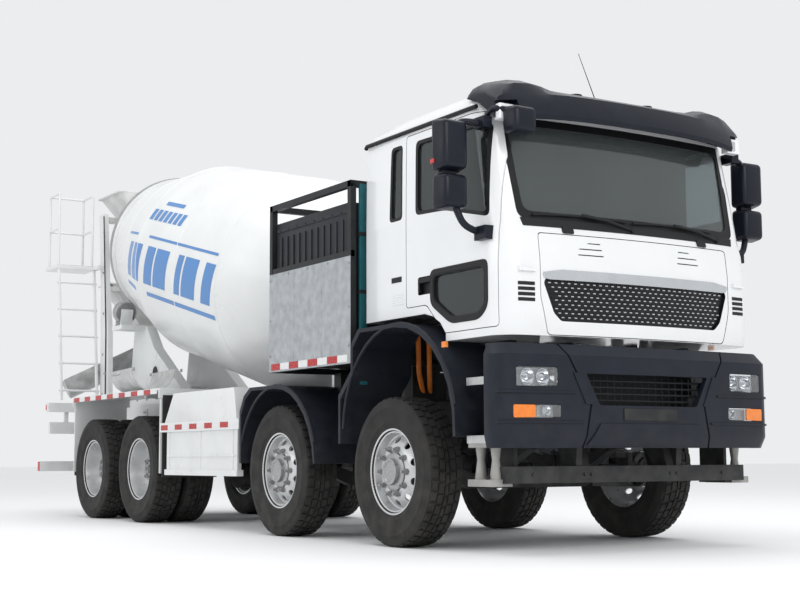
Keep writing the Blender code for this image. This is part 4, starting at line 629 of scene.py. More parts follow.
def joined(*shapes):
    """Several meshes as one, side by side."""
    result = bmesh.new()
    for shape in shapes:
        mesh = bpy.data.meshes.new("part")
        shape.to_mesh(mesh)
        shape.free()
        result.from_mesh(mesh)
        bpy.data.meshes.remove(mesh)
    return result


DOOR = [(4.027, 1.50), (4.645, 1.50), (4.645, 2.10), (4.57, 3.00), (3.53, 3.00), (3.53, 1.72), (3.80, 1.72)]
DOOR_PANE = [(3.66, 2.39), (4.04, 2.37), (4.565, 2.25), (4.52, 2.92), (3.66, 2.94)]
LOW_PANE = [(4.12, 1.60), (4.44, 1.60), (4.52, 1.66), (4.52, 1.93), (3.89, 1.93), (3.89, 1.74)]
QUARTER_PANE = [(3.30, 2.385), (3.48, 2.385), (3.48, 2.95), (3.32, 2.95)]
SCREEN = [(-0.99, 2.235), (0.99, 2.235), (1.035, 2.965), (-1.035, 2.965)]
PANEL = [(-0.80, 1.452), (0.80, 1.452), (0.86, 1.70), (0.86, 2.14), (-0.86, 2.14), (-0.86, 1.70)]
ARCH = [(2.0, 1.3), (4.047, 1.3), (4.047, 1.50), (3.98, 1.58), (3.88, 1.635), (3.78, 1.66), (2.0, 1.66)]

walls = carved("room", cab_body(0), cab_body(0.06, 1, 1.53))
walls = carved("arch", walls, prism(ARCH, -2, 2, "XZ"))
shell = walls.copy()
shell = carved("screen", shell, prism(rounded(SCREEN, 0.07), 4.2, 5, "YZ", 2))
shell = carved("panel", shell, prism(rounded(PANEL, 0.03, grow=0.003), 4.70, 5, "YZ", 2))
door_skins = {}
for label, side in SIDES.items():
    span = sides_of(1.0, 1.3, side)
    door_skins[label] = kept(walls.copy(), prism(rounded(DOOR, 0.03, grow=-0.0055), *span, "XZ"))
    shell = carved("door", shell, prism(rounded(DOOR, 0.035), *span, "XZ", 1))
    shell = carved("quarter", shell, prism(rounded(QUARTER_PANE, 0.04), *span, "XZ", 1))
panel_skin = kept(walls.copy(), prism(rounded(PANEL, 0.03, grow=-0.002), 4.72, 5, "YZ"))
piece("cab_skin", shell, "cab", [CAB_WHITE, LINING, CHASSIS_BLACK], 0.004,
      stands_for=["cab_shell"], angle=24)

# ---------------------------------------------------------------- cab hinge and floor
# Under the front of the floor two arms reach down to the pins on the frame. The pressed floor has
# stiffening ribs, and rests at the back on a cross member with air springs.

under = bmesh.new()
for side in BOTH:
    arm = [(4.768, 1.008), (4.768, 1.032), (4.752, 1.048), (4.63, 1.048), (4.30, 1.22), (4.25, 1.47), (4.18, 1.47),
           (4.24, 1.18), (4.61, 0.992), (4.752, 0.992)]
    add_plate(under, arm, *sides_of(0.49, 0.52, side))
    for y in (0.30, 0.80):
        add_block(under, (3.95, 4.36), sides_of(y - 0.03, y + 0.03, side), (1.425, 1.45))
        add_block(under, (3.00, 3.70), sides_of(y - 0.03, y + 0.03, side), (1.632, 1.665))
piece("cab_underside", under, "cab", CHASSIS_BLACK, 0.004)
mounts = bmesh.new()
for side in BOTH:
    add_rod(mounts, (3.0, side * 0.36, 1.13), (3.0, side * 0.36, 1.30), 0.07, 24)
    add_rod(mounts, (3.0, side * 0.36, 1.30), (3.0, side * 0.36, 1.60), 0.05, 20)
    add_block(mounts, (2.95, 3.05), sides_of(0.32, 0.42, side), (1.085, 1.15))
piece("cab_air_springs", mounts, "chassis", CHASSIS_BLACK, 0.003)

# ---------------------------------------------------------------- glass and its seals
# Laminated screen and tempered side panes, faintly green, set flush in black rubber and a black
# printed border. The low corner windows have a wide moulded frame.

SEAL = finish("window_seal", (0.010, 0.010, 0.011), 0.42, mottle=20, change=0.15, bump=0.05, grain=200, gloss=0.25)


def pane_glass(name, tint):
    """Clear glass with a tint, gone over by the wipers and the weather."""
    material = finish(name, tint, 0.03, mottle=2, change=0.03, bump=0.0, uneven=0.015)
    shader = material.node_tree.nodes["Principled BSDF"]
    shader.inputs["Transmission Weight"].default_value = 0.92
    shader.inputs["IOR"].default_value = 1.45
    return material


SCREEN_GLASS = pane_glass("screen_glass", (0.50, 0.56, 0.57))
SIDE_GLASS = pane_glass("side_glass", (0.20, 0.24, 0.25))


def layer(outer, inner):
    """The skin of the cab's form between two depths."""
    return carved("layer", cab_body(outer), cab_body(inner, 0, 1.3))


def border(outline, radius, wide, deep, plane, span, proud=-0.003):
    """A frame of the given width just inside an outline, on the cab's surface."""
    ring = carved("ring", prism(rounded(outline, radius, grow=-0.0006), *span, plane),
                  prism(rounded(outline, radius, grow=-wide), span[0] - 1, span[1] + 1, plane))
    return kept(layer(-proud, deep), ring)


screen_span = (4.3, 5)
piece("screen_border", border(SCREEN, 0.07, 0.055, 0.03, "YZ", screen_span), "cab", SEAL, 0.002)
piece("screen_pane", kept(layer(0.012, 0.018), prism(rounded(SCREEN, 0.05, grow=-0.054), *screen_span, "YZ")),
      "cab", SCREEN_GLASS, stands_for=["windscreen"], angle=40)
for label, side in SIDES.items():
    span = sides_of(1.0, 1.3, side)
    for name, outline, body, wide, radius in (("quarter", QUARTER_PANE, "cab", 0.022, 0.04),
                                              ("door", DOOR_PANE, f"door_{label}", 0.026, 0.05),
                                              ("low", LOW_PANE, f"door_{label}", 0.012, 0.05)):
        piece(f"{name}_seal_{label}",
              border(outline, radius, wide, 0.035, "XZ", span, 0.001 if name == "low" else -0.002),
              body, SEAL, 0.0015)
        node = {"quarter": "quarter_glass", "door": "door_glass", "low": "low_glass"}[name]
        piece(f"{name}_pane_{label}",
              kept(layer(0.018, 0.023), prism(rounded(outline, radius, grow=-wide + 0.002), *span, "XZ")),
              body, SIDE_GLASS, stands_for=[f"{node}_{label}"], angle=40)

# ---------------------------------------------------------------- doors
# Each door is cut from the same skin, hung at its front edge, with a black pull handle, a moulded
# frame round its low window, five pressed ribs behind it on the cab, and a blank badge plate.

for label, side in SIDES.items():
    door = door_skins[label]
    span = sides_of(1.0, 1.3, side)
    for outline, radius in ((DOOR_PANE, 0.05), (LOW_PANE, 0.05)):
        door = carved("pane", door, prism(rounded(outline, radius), *span, "XZ", 1))
    door = carved("grip", door, prism(rounded([(3.69, 1.80), (3.875, 1.80), (3.875, 1.93), (3.69, 1.93)], 0.02),
                                      *sides_of(1.125, 1.3, side), "XZ", 2))
    body = f"door_{label}"
    piece(f"door_skin_{label}", door, body, [CAB_WHITE, LINING, SEAL], 0.004,
          stands_for=[f"door_{label}"], angle=24)
    trim = bmesh.new()
    add_block(trim, (3.70, 3.865), sides_of(1.138, 1.158, side), (1.885, 1.922))
    add_block(trim, (3.70, 3.72), sides_of(1.125, 1.158, side), (1.815, 1.90))
    add_rod(trim, (3.845, side * 1.12, 1.84), (3.845, side * 1.142, 1.84), 0.014, 20)
    frame_ring = carved("frame", prism(rounded(LOW_PANE, 0.06, grow=0.038), *sides_of(1.13, 1.156, side), "XZ"),
                        prism(rounded(LOW_PANE, 0.05, grow=-0.004), side - 1, side + 1, "XZ"))
    frame_ring = kept(frame_ring, prism([(3.80, 1.50), (4.60, 1.50), (4.60, 2.05), (3.80, 2.05)], -2, 2, "XZ"))
    piece(f"door_grip_{label}", trim, body, SEAL, 0.004, rounds=3)
    piece(f"low_frame_{label}", frame_ring, body, SEAL, 0.005, rounds=3)
    badge = bmesh.new()
    add_block(badge, (3.33, 3.47), sides_of(1.1495, 1.153, side), (1.925, 1.965))
    for rib in range(5):
        add_block(badge, (3.34, 3.50), sides_of(1.145, 1.1525, side), (1.83 - rib * 0.018, 1.838 - rib * 0.018), 1)
    piece(f"cab_badge_{label}", badge, "cab", [SEAL, CAB_WHITE], 0.0015)
    rail = bmesh.new()
    add_tube(rail, [(2.935, side * 1.136, 3.02), (2.96, side * 1.140, 3.035), (4.43, side * 1.140, 3.035)], 0.016)
    piece(f"drip_rail_{label}", rail, "cab", SEAL)

# ---------------------------------------------------------------- front panel and grille
# The white panel under the screen lifts on two lugs at its top. A satin silver bar crosses it over
# a black grille that narrows downwards and carries rows of short bright dashes.

GRILLE_BLACK = finish("grille_black", (0.006, 0.007, 0.009), 0.35, mottle=10, change=0.2, coat=0.1, gloss=0.3)
SATIN_SILVER = finish("satin_silver", (0.60, 0.62, 0.64), 0.24, metallic=0.9, mottle=4, change=0.04)
GRILLE = [(-0.70, 1.545), (0.70, 1.545), (0.76, 1.60), (0.835, 1.80), (0.82, 1.83), (-0.82, 1.83), (-0.835, 1.80),
          (-0.76, 1.60)]


def on_front(y, z, proud=0.0):
    """The point of the cab's front at a height and a distance off the middle."""
    front, half = along(FRONT_X, z), along(HALF_Y, z)
    edge = (front - 0.062 - 0.19 * (1 - sin(radians(78))), half - 0.19 * (1 - cos(radians(78))))
    return Vector((edge[0] + (front - edge[0]) * (1 - (y / edge[1]) ** 2) + proud, y, z))


panel_skin = carved("grille", panel_skin, prism(rounded(GRILLE, 0.02), 4.5, 5, "YZ", 1))
for side in BOTH:
    for row in range(3):
        low, high = sides_of(0.36 - row * 0.01, 0.57 - row * 0.01, side)
        z = 2.085 - row * 0.042
        panel_skin = carved("slot", panel_skin,
                            prism([(low, z), (high, z), (high, z + 0.007), (low, z + 0.007)], 4.772, 5, "YZ", 1))
piece("front_panel_skin", panel_skin, "front_flap", [CAB_WHITE, GRILLE_BLACK], 0.004,
      stands_for=["front_panel"], angle=24)
mesh_plate = kept(layer(0.022, 0.035), prism(rounded(GRILLE, 0.02, grow=-0.001), 4.5, 5, "YZ"))
for row in range(9):
    z = 1.572 + row * 0.029
    half = along(((1.545, 0.68), (1.60, 0.74), (1.83, 0.80)), z)
    count = int(half / 0.052)
    for k in range(-count, count + 1):
        y = (k + 0.5 * (row % 2)) * 0.052
        if abs(y) < half:
            x = on_front(y, z, -0.022).x
            add_block(mesh_plate, (x - 0.004, x + 0.006), (y - 0.011, y + 0.011), (z - 0.0035, z + 0.0035), 1)
    points = [on_front(half * (i / 4 - 1), z + 0.0145, -0.019) for i in range(9)]
    add_tube(mesh_plate, points, 0.003, sides=6)
piece("grille_field", mesh_plate, "front_flap", [GRILLE_BLACK, SATIN_SILVER], stands_for=["grille"], angle=30)
BAR = [(-0.79, 1.822), (0.79, 1.822), (0.835, 1.83), (0.845, 1.87), (0.70, 1.893), (-0.70, 1.893), (-0.845, 1.87),
       (-0.835, 1.83)]
piece("grille_bar", kept(layer(-0.009, 0.03), prism(rounded(BAR, 0.012), 4.5, 5, "YZ")), "front_flap", SATIN_SILVER,
      0.004, rounds=3)

# ---------------------------------------------------------------- corner vents, cowl and wipers
# Black louvres behind small white fins at both corners, a black cowl strip under the screen with
# two dropped brackets, and two wipers parked one after the other.

TRIM_BLACK = finish("trim_black", (0.011, 0.012, 0.014), 0.5, mottle=20, change=0.15, bump=0.06, grain=220,
                    gloss=0.3)
vents = bmesh.new()
fins = bmesh.new()
for side in BOTH:
    low, high = sides_of(0.905, 1.03, side)
    for row in range(4):
        z = 1.79 - row * 0.036
        outline = [(low, z - 0.012), (high, z - 0.012), (high, z + 0.012), (low, z + 0.012)]
        vents = joined(vents, kept(layer(-0.003, 0.01), prism(outline, 4.3, 5, "YZ")))
    outline = [(low, 1.87), (high, 1.87), (high, 1.885), (low, 1.90)]
    fins = joined(fins, kept(layer(-0.022, 0.01), prism(outline, 4.3, 5, "YZ")))
piece("corner_vents", vents, "cab", TRIM_BLACK, 0.002)
piece("corner_fins", fins, "cab", CAB_WHITE, 0.003)
cowl = kept(layer(-0.004, 0.02),
            prism([(-0.96, 2.185), (0.96, 2.185), (0.975, 2.243), (-0.975, 2.243)], 4.3, 5, "YZ"))
for side in BOTH:
    low, high = sides_of(0.57, 0.66, side)
    outline = rounded([(low, 2.148), (high, 2.148), (high, 2.20), (low, 2.20)], 0.012)
    cowl = joined(cowl, kept(layer(-0.012, 0.02), prism(outline, 4.3, 5, "YZ")))
piece("screen_cowl", cowl, "cab", TRIM_BLACK, 0.002)
wipers = bmesh.new()
for start, end, pivot_y in ((-0.88, -0.10, -0.05), (-0.04, 0.74, 0.80)):
    blade = [on_front(start + (end - start) * i / 6, 2.268 + 0.012 * sin(pi * i / 6), 0.012) for i in range(7)]
    add_tube(wipers, blade, 0.008, 0, sides=8)
    hub = on_front(pivot_y, 2.215, 0.012)
    add_rod(wipers, hub - Vector((0.04, 0, 0)), hub + Vector((0.012, 0, 0)), 0.02, 16, 0.017)
    middle = on_front((start + end) / 2, 2.285, 0.028)
    add_tube(wipers, [hub, on_front((pivot_y * 2 + start + end) / 4, 2.262, 0.030), middle], 0.010, 0, sides=8)
piece("wipers", wipers, "cab", TRIM_BLACK, 0.001)

# ---------------------------------------------------------------- sun visor and roof lights
# A dark moulded shade over the screen, deep at both ends and lower in the middle, with a clear
# lamp in each end, two small lights on the roof behind it and a whip aerial.

VISOR_BLUE = finish("visor_charcoal", (0.008, 0.010, 0.018), 0.33, mottle=6, change=0.1, bump=0.02, grain=300,
                    gloss=0.25)
LAMP_CLEAR = finish("lamp_clear", (0.85, 0.87, 0.90), 0.12, mottle=30, change=0.05, coat=0.5)
AMBER = finish("amber_lens", (0.85, 0.22, 0.02), 0.15, mottle=30, change=0.06, coat=0.5)


def visor_section(y):
    """The visor's outline from the side, at a distance off the middle."""
    share = abs(y) / 1.12
    back = 0.105 * share ** 2.4
    drop = 0.055 * share ** 4
    crest = along(((0, 3.185), (0.52, 3.187), (0.66, 3.20), (0.80, 3.246), (0.95, 3.25), (1.06, 3.235),
                   (1.10, 3.19), (1.13, 3.13)), abs(y))
    front = [(4.40, crest - 0.012), (4.46, crest), (4.60, crest - 0.008), (4.69, crest - 0.045),
             (4.745, min(3.12, crest - 0.06)), (4.79, 3.03), (4.805, 2.965), (4.795, 2.935), (4.765, 2.94),
             (4.70, 2.985), (4.62, 3.04), (4.54, 3.09), (4.40, 3.13)]
    return [(x - back, y, z - drop * (x - 4.3) / 0.5) for x, z in front]


stations = [-1.125, -1.11, -1.08, -1.03, -0.95, -0.85, -0.75, -0.66, -0.55, -0.40, -0.20]
visor = lofted([visor_section(y) for y in stations + [0.0] + [-y for y in reversed(stations)]])
for side in BOTH:
    low, high = sides_of(0.985, 1.2, side)
    visor = carved("lamp", visor, prism([(low, 2.86), (high, 2.86), (high, 3.045), (low, 3.025)], 4.62, 5, "YZ"))
piece("visor_shade", visor, "cab", VISOR_BLUE, 0.006, stands_for=["sun_visor"], angle=35)
lamps = bmesh.new()
for side in BOTH:
    low, high = sides_of(0.99, 1.115, side)
    add_block(lamps, (4.60, 4.668), (low, high), (2.905, 3.015))
    add_block(lamps, (4.655, 4.675), sides_of(1.0, 1.07, side), (2.92, 2.995), 1)
    add_turned(lamps, [(0.0, 0.045), (0.03, 0.04), (0.05, 0.018), (0.055, -0.005), (0.0, -0.005)],
               Matrix.Translation((4.50, side * 0.33, 3.20)) @ Matrix.Rotation(pi, 4, "X"), 20, 2)
piece("visor_lamps", lamps, "cab", [LAMP_CLEAR, SATIN_SILVER, VISOR_BLUE], 0.008, rounds=3)
aerial = bmesh.new()
add_rod(aerial, (4.36, -0.02, 3.19), (4.36, -0.02, 3.24), 0.018, 16, 0.010)
add_rod(aerial, (4.36, -0.02, 3.23), (4.22, -0.06, 3.62), 0.004, 8, 0.0022)
piece("roof_aerial", aerial, "cab", TRIM_BLACK)

# ---------------------------------------------------------------- door mirrors
# Two moulded housings one over the other on each side, on an upper arm from the cab's top corner
# and a lower arm with a fat elbow, and a kerb mirror that hangs before the right end of the visor.

MIRROR_GLASS = finish("mirror_glass", (0.75, 0.78, 0.80), 0.03, metallic=1.0)
MARKER_RED = finish("marker_red", (0.55, 0.02, 0.02), 0.25, mottle=20, change=0.1, coat=0.4)


def housing(bm, x, y, z, paint=0):
    """A moulded mirror housing: a box with a crowned front and fat round edges."""
    made = bmesh.ops.create_cube(bm, size=1)["verts"]
    centre = Vector(((x[0] + x[1]) / 2, (y[0] + y[1]) / 2, (z[0] + z[1]) / 2))
    bmesh.ops.scale(bm, vec=(x[1] - x[0], y[1] - y[0], z[1] - z[0]), verts=made)
    bmesh.ops.translate(bm, vec=centre, verts=made)
    for vert in made:
        if vert.co.x > centre.x:
            vert.co.y += (centre.y - vert.co.y) * 0.16
            vert.co.z += (centre.z - vert.co.z) * 0.12
    edges = list({edge for vert in made for edge in vert.link_edges})
    result = bmesh.ops.bevel(bm, geom=edges, offset=0.034, segments=4, affect="EDGES", profile=0.5)
    for face in result["faces"]:
        face.material_index = paint


for label, side in SIDES.items():
    body = f"door_{label}"
    shells = bmesh.new()
    housing(shells, (4.395, 4.545), sides_of(1.27, 1.50, side), (2.545, 2.91))
    housing(shells, (4.395, 4.545), sides_of(1.275, 1.495, side), (2.285, 2.535))
    add_block(shells, (4.40, 4.46), sides_of(1.33, 1.44, side), (2.50, 2.58))
    add_tube(shells, [(4.50, side * 1.13, 2.155), (4.50, side * 1.20, 2.15), (4.49, side * 1.30, 2.19),
                      (4.47, side * 1.355, 2.32)], 0.024, bend=0.05)
    add_block(shells, (4.47, 4.60), sides_of(1.118, 1.20, side), (2.09, 2.185))
    add_tube(shells, [(4.52, side * 1.13, 2.89), (4.50, side * 1.22, 2.90), (4.47, side * 1.32, 2.90),
                      (4.46, side * 1.36, 2.80)], 0.024, bend=0.05)
    add_block(shells, (4.46, 4.585), sides_of(1.12, 1.19, side), (2.86, 2.935))
    piece(f"mirror_shells_{label}", shells, body, VISOR_BLUE, 0.006, stands_for=[f"mirror_{label}"], rounds=3,
          angle=45)
    panes = bmesh.new()
    add_block(panes, (4.388, 4.40), sides_of(1.305, 1.465, side), (2.585, 2.87))
    add_block(panes, (4.388, 4.40), sides_of(1.305, 1.465, side), (2.325, 2.495))
    piece(f"mirror_panes_{label}", panes, body, MIRROR_GLASS, 0.005)
    spot = bmesh.new()
    add_block(spot, (4.40, 4.44), sides_of(1.487, 1.503, side), (2.60, 2.63))
    piece(f"mirror_spot_{label}", spot, body, MARKER_RED, 0.003)
kerb = bmesh.new()
housing(kerb, (4.66, 4.80), (-1.10, -0.88), (2.80, 2.99))
add_tube(kerb, [(4.50, -1.10, 2.965), (4.62, -1.13, 2.985), (4.70, -1.05, 2.96)], 0.022, bend=0.04)
piece("kerb_mirror", kerb, "cab", VISOR_BLUE, 0.004, angle=45)

# ---------------------------------------------------------------- bumper
# A dark moulded bumper wraps round both corners: a bevelled top, a seam that slants inwards down to
# the middle part, pockets for the lamps, an intake that narrows downwards and a lip below it.

BUMPER_BLUE = finish("bumper_charcoal", (0.009, 0.012, 0.021), 0.42, mottle=5, change=0.1, bump=0.05, grain=260,
                     dust=0.04, gloss=0.25)
CHROME = finish("reflector", (0.80, 0.82, 0.84), 0.10, metallic=1.0)
LENS = pane_glass("lamp_lens", (0.90, 0.92, 0.94))


def bumper_plan(z, inset, back=4.62):
    """The bumper's outline seen from above at one height."""
    lean = 0.055 * max(0.0, z - 1.315) / 0.075 + 0.03 * max(0.0, 0.78 - z) / 0.08
    front, half, radius, bow = 4.85 - inset - lean, 1.24 - inset - lean * 0.6, 0.15 - inset * 0.5, 0.05
    centre = (front - bow - radius, half - radius)
    right = [(back, 0.0), (back, half)]
    right += [(centre[0] + radius * sin(a), centre[1] + radius * cos(a))
              for a in (radians(76) * i / 9 for i in range(10))]
    edge_x, edge_y = right[-1]
    right += [(edge_x + (front - edge_x) * (1 - (1 - s) ** 2), edge_y * (1 - s)) for s in (0.15, 0.35, 0.55, 0.8)]
    return [(x, -y) for x, y in right] + [(front, 0.0)] + [(x, y) for x, y in reversed(right[1:])]


def bumper_body(inset, low=0.70, high=1.39, back=4.62):
    """The closed form of the bumper between two heights."""
    levels = [z for z in (0.70, 0.74, 0.78, 0.95, 1.10, 1.25, 1.315, 1.35, 1.39) if low < z < high]
    return lofted([[(x, y, z) for x, y in bumper_plan(z, inset, back)] for z in [low, *levels, high]])


def bumper_strip(outline, proud, deep, radius=0.0):
    """A piece of the bumper's skin under an outline, both sides of the truck."""
    result = None
    for side in BOTH:
        points = [(side * y, z) for y, z in outline][::side]
        cut = prism(rounded(points, radius) if radius else points, 4.5, 5, "YZ")
        result = cut if result is None else joined(result, cut)
    return kept(carved("strip", bumper_body(-proud), bumper_body(deep, 0.6, 1.5, 4.5)), result)


HEADLAMP = [(0.783, 1.107), (1.105, 1.10), (1.105, 1.232), (0.783, 1.232)]
LOW_LAMP = [(0.76, 0.90), (1.13, 0.893), (1.13, 0.985), (0.76, 0.985)]
INTAKE = [(-0.44, 0.985), (0.44, 0.985), (0.55, 1.195), (-0.55, 1.195)]
bumper = carved("hollow", bumper_body(0), bumper_body(0.04, 0.6, 1.352, 4.5))
bumper = carved("intake", bumper, prism(rounded(INTAKE, 0.02), 4.5, 5, "YZ"))
for side in BOTH:
    for outline in (HEADLAMP, LOW_LAMP):
        points = [(side * y, z) for y, z in outline][::side]
        bumper = carved("pocket", bumper, prism(rounded(points, 0.02), 4.6, 5, "YZ", 1))
seam = [(0.755, 1.40), (0.74, 1.40), (0.505, 1.0), (0.565, 0.69), (0.58, 0.69), (0.521, 1.0)]
bumper = carved("seam", bumper, bumper_strip(seam[::-1], 0.01, 0.012))
for side in BOTH:
    add_block(bumper, (4.5403, 4.73), sides_of(0.34, 0.42, side), (0.84, 0.94), 1)
piece("bumper_skin", bumper, "chassis", [BUMPER_BLUE, TRIM_BLACK], 0.006,
      stands_for=["bumper"], angle=28, rounds=3)
ridges = joined(*(bumper_strip(outline, proud, 0.01) for outline, proud in (
    ([(0.64, 1.058), (1.22, 1.058), (1.22, 1.074), (0.65, 1.074)], 0.010),
    ([(0.58, 0.862), (1.22, 0.862), (1.22, 0.876), (0.57, 0.876)], 0.010),
    ([(0.0, 0.715), (0.545, 0.715), (0.44, 0.862), (0.0, 0.862)], 0.012),
    ([(0.56, 0.99), (0.50, 0.99), (0.60, 1.20), (0.66, 1.20)], 0.008))))
piece("bumper_ridges", ridges, "chassis", BUMPER_BLUE, 0.003)
inside = bmesh.new()
for z in (1.02, 1.065, 1.11, 1.155):
    add_tube(inside, [(4.755, -0.54, z), (4.775, 0.0, z), (4.755, 0.54, z)], 0.008, 0, sides=6)
for k in range(-8, 9):
    add_rod(inside, (4.765, k * 0.062, 0.99), (4.765, k * 0.062, 1.19), 0.003, 6)
add_block(inside, (4.60, 4.62), (-0.60, 0.60), (0.98, 1.30))
add_block(inside, (4.845, 4.855), (-0.24, 0.24), (0.885, 0.965), 1)
for side in BOTH:
    add_turned(inside, [(0.028, 0.0), (0.028, 0.012), (0.018, 0.014), (0.016, 0.004)],
               Matrix.Translation((4.842, side * 0.36, 0.80)) @ Matrix.Rotation(pi / 2, 4, "Y"), 20, 0)
piece("bumper_mesh", inside, "chassis", [TRIM_BLACK, CHASSIS_BLACK], 0.002)

# ---------------------------------------------------------------- front lamps
# A clear lens over a twin-bowl headlamp on each side, and below it a lamp with an amber outer half
# and a clear inner half with a small round fog light.

bowls = bmesh.new()
turn_x = Matrix.Rotation(pi / 2, 4, "Y")
BOWL = [(0.0, -0.045), (0.02, -0.042), (0.038, -0.028), (0.048, -0.008), (0.052, 0.0), (0.056, 0.0),
        (0.052, -0.012)]
BULB = [(0.0, 0.0), (0.009, -0.002), (0.011, -0.012), (0.010, -0.04), (0.0, -0.04)]
for side in BOTH:
    for y in (0.862, 0.992):
        place = Matrix.Translation((4.765, side * y, 1.168)) @ turn_x
        add_turned(bowls, BOWL, place, 28)
        add_turned(bowls, BULB, place, 12, 1)
    add_block(bowls, (4.70, 4.722), sides_of(0.79, 1.10, side), (1.11, 1.228), 1)
    place = Matrix.Translation((4.768, side * 0.84, 0.943)) @ turn_x @ Matrix.Scale(0.66, 4)
    add_turned(bowls, BOWL, place, 24)
    add_block(bowls, (4.715, 4.745), sides_of(0.77, 1.0, side), (0.90, 0.982), 1)
piece("lamp_bowls", bowls, "chassis", [CHROME, LAMP_CLEAR])
for name, outline, radius in (
        ("headlamp_lens", [(0.786, 1.110), (1.102, 1.103), (1.102, 1.229), (0.786, 1.229)], 0.02),
        ("fog_lens", [(0.763, 0.903), (0.952, 0.900), (0.952, 0.982), (0.763, 0.982)], 0.012)):
    piece(name, bumper_strip(outline, -0.002, 0.006, radius), "chassis", LENS, angle=40)
AMBER_HALF = [(0.957, 0.900), (1.127, 0.896), (1.127, 0.982), (0.957, 0.982)]
piece("amber_lens", bumper_strip(AMBER_HALF, -0.002, 0.02, 0.012), "chassis", AMBER, 0.002)

# ---------------------------------------------------------------- underrun beam and steps
# A black square beam hangs low on cast arms. The lowest step is a waisted grey casting, the two
# above it are black trays with a ribbed aluminium edge.

beam = solid_of("front_underrun")
for side in BOTH:
    for z in (0.74, 1.13):
        for row in range(3):
            add_block(beam, (4.33, 4.58), sides_of(1.06 + row * 0.03, 1.072 + row * 0.03, side),
                      (z + 0.04, z + 0.045), 1)
        add_block(beam, (4.318, 4.592), sides_of(1.155, 1.168, side), (z - 0.006, z + 0.046), 1)
    for x in (4.37, 4.54):
        add_rod(beam, (x, side * 1.09, 0.49), (x, side * 1.09, 0.62), 0.045, 16, 0.026, 2)
        add_rod(beam, (x, side * 1.09, 0.62), (x, side * 1.09, 0.74), 0.026, 16, 0.040, 2)
    add_block(beam, (4.325, 4.60), sides_of(1.0, 1.168, side), (0.447, 0.494), 2)
    add_block(beam, (4.33, 4.59), sides_of(1.02, 1.165, side), (0.705, 0.742), 2)
add_bolts(beam, [(4.641, side * y, 0.523) for side in BOTH for y in (0.36, 0.42, 0.86)], (1, 0, 0))
STEP_ALLOY = finish("step_alloy", (0.55, 0.56, 0.56), 0.38, metallic=0.8, mottle=12, change=0.12, bump=0.1,
                    dust=0.1)
CAST_GREY = finish("cast_grey", (0.34, 0.335, 0.32), 0.55, metallic=0.3, mottle=9, change=0.15, bump=0.15,
                   dust=0.15)
piece("underrun_and_steps", beam, "chassis", [CHASSIS_BLACK, STEP_ALLOY, CAST_GREY], 0.005,
      stands_for=["front_underrun"])

# ---------------------------------------------------------------- front mudguards
# Dark moulded guards over both steered axles: a rolled outer lip, a flange down each end, and a
# small amber marker on the first pair.

GUARD_BLUE = finish("guard_charcoal", (0.010, 0.013, 0.021), 0.5, mottle=5, change=0.12, bump=0.08, grain=220,
                    dust=0.07, gloss=0.25)
for number, (centre_x, centre_z, radius, start, end) in enumerate(
        ((3.527, 0.836, 0.774, 12, 178), (1.62, 0.55, 0.70, 18, 165)), 1):
    guard = solid_of(f"mudguards_{number}")
    for side in BOTH:
        lip = []
        for step in range(19):
            a = radians(start + (end - start) * step / 18)
            lip.append((centre_x + (radius - 0.004) * cos(a), side * 1.236, centre_z + (radius - 0.004) * sin(a)))
        add_tube(guard, lip, 0.013, 0, sides=8)
        for a in (35, 62, 118, 145):
            x, z = centre_x + (radius - 0.05) * cos(radians(a)), centre_z + (radius - 0.05) * sin(radians(a))
            add_bolts(guard, [(x, side * 0.98, z + 0.045)], (0, 0, 1), 0.011, 0.008)
        if number == 1:
            add_block(guard, (4.15, 4.20), sides_of(1.236, 1.256, side), (1.39, 1.43), 1)
    piece(f"wheel_guards_{number}", guard, "chassis", [GUARD_BLUE, AMBER], 0.006,
          stands_for=[f"mudguards_{number}"], rounds=3, angle=30)

# ---------------------------------------------------------------- side guards
# White folded panels in front of the tandem: a sloped upper panel with a stiffening bead, a rail
# with red and white reflective tape, a lower panel with three posts and a bottom rail.

BODY_WHITE = finish("body_white", (0.74, 0.75, 0.75), 0.34, mottle=4, change=0.03, bump=0.04, grain=200, dust=0.12,
                    coat=0.3)
TAPE_RED = finish("tape_red", (0.42, 0.012, 0.012), 0.3, mottle=60, change=0.12)
TAPE_WHITE = finish("tape_white", (0.72, 0.72, 0.72), 0.35, mottle=60, change=0.05)


def add_tape(bm, x, y, z, side, count, paints=(1, 2)):
    """A strip of alternate red and white tape along a face at a distance off the middle."""
    long = (x[1] - x[0]) / (2 * count)
    for k in range(2 * count):
        add_block(bm, (x[0] + k * long, x[0] + (k + 0.97) * long), sides_of(y - 0.001, y + 0.0015, side), z,
                  paints[k % 2])


for label, side in SIDES.items():
    guard = solid_of(f"side_guard_{label}")
    add_tape(guard, (-0.84, 0.88), 1.2505, (0.918, 0.968), side, 5)
    for x in (-0.70, 0.04, 0.74):
        add_block(guard, (x - 0.02, x + 0.02), sides_of(1.216, 1.226, side), (0.51, 0.90))
    add_block(guard, (-0.74, 0.80), sides_of(1.216, 1.232, side), (0.495, 0.525))
    add_block(guard, (-0.74, 0.80), sides_of(1.216, 1.230, side), (0.66, 0.675))
    add_bolts(guard, [(x, side * 1.249, 0.943) for x in (-0.86, 0.90)], (0, side, 0), 0.009, 0.006)
    piece(f"guard_panels_{label}", guard, "chassis", [BODY_WHITE, TAPE_RED, TAPE_WHITE], 0.004,
          stands_for=[f"side_guard_{label}"])

# ---------------------------------------------------------------- rear fenders and tail
# Flat white decks over the tandem with a rolled edge and tape along it, black rubber flaps at both
# ends, a white tail beam with lamp clusters, and a low bar with red ends.

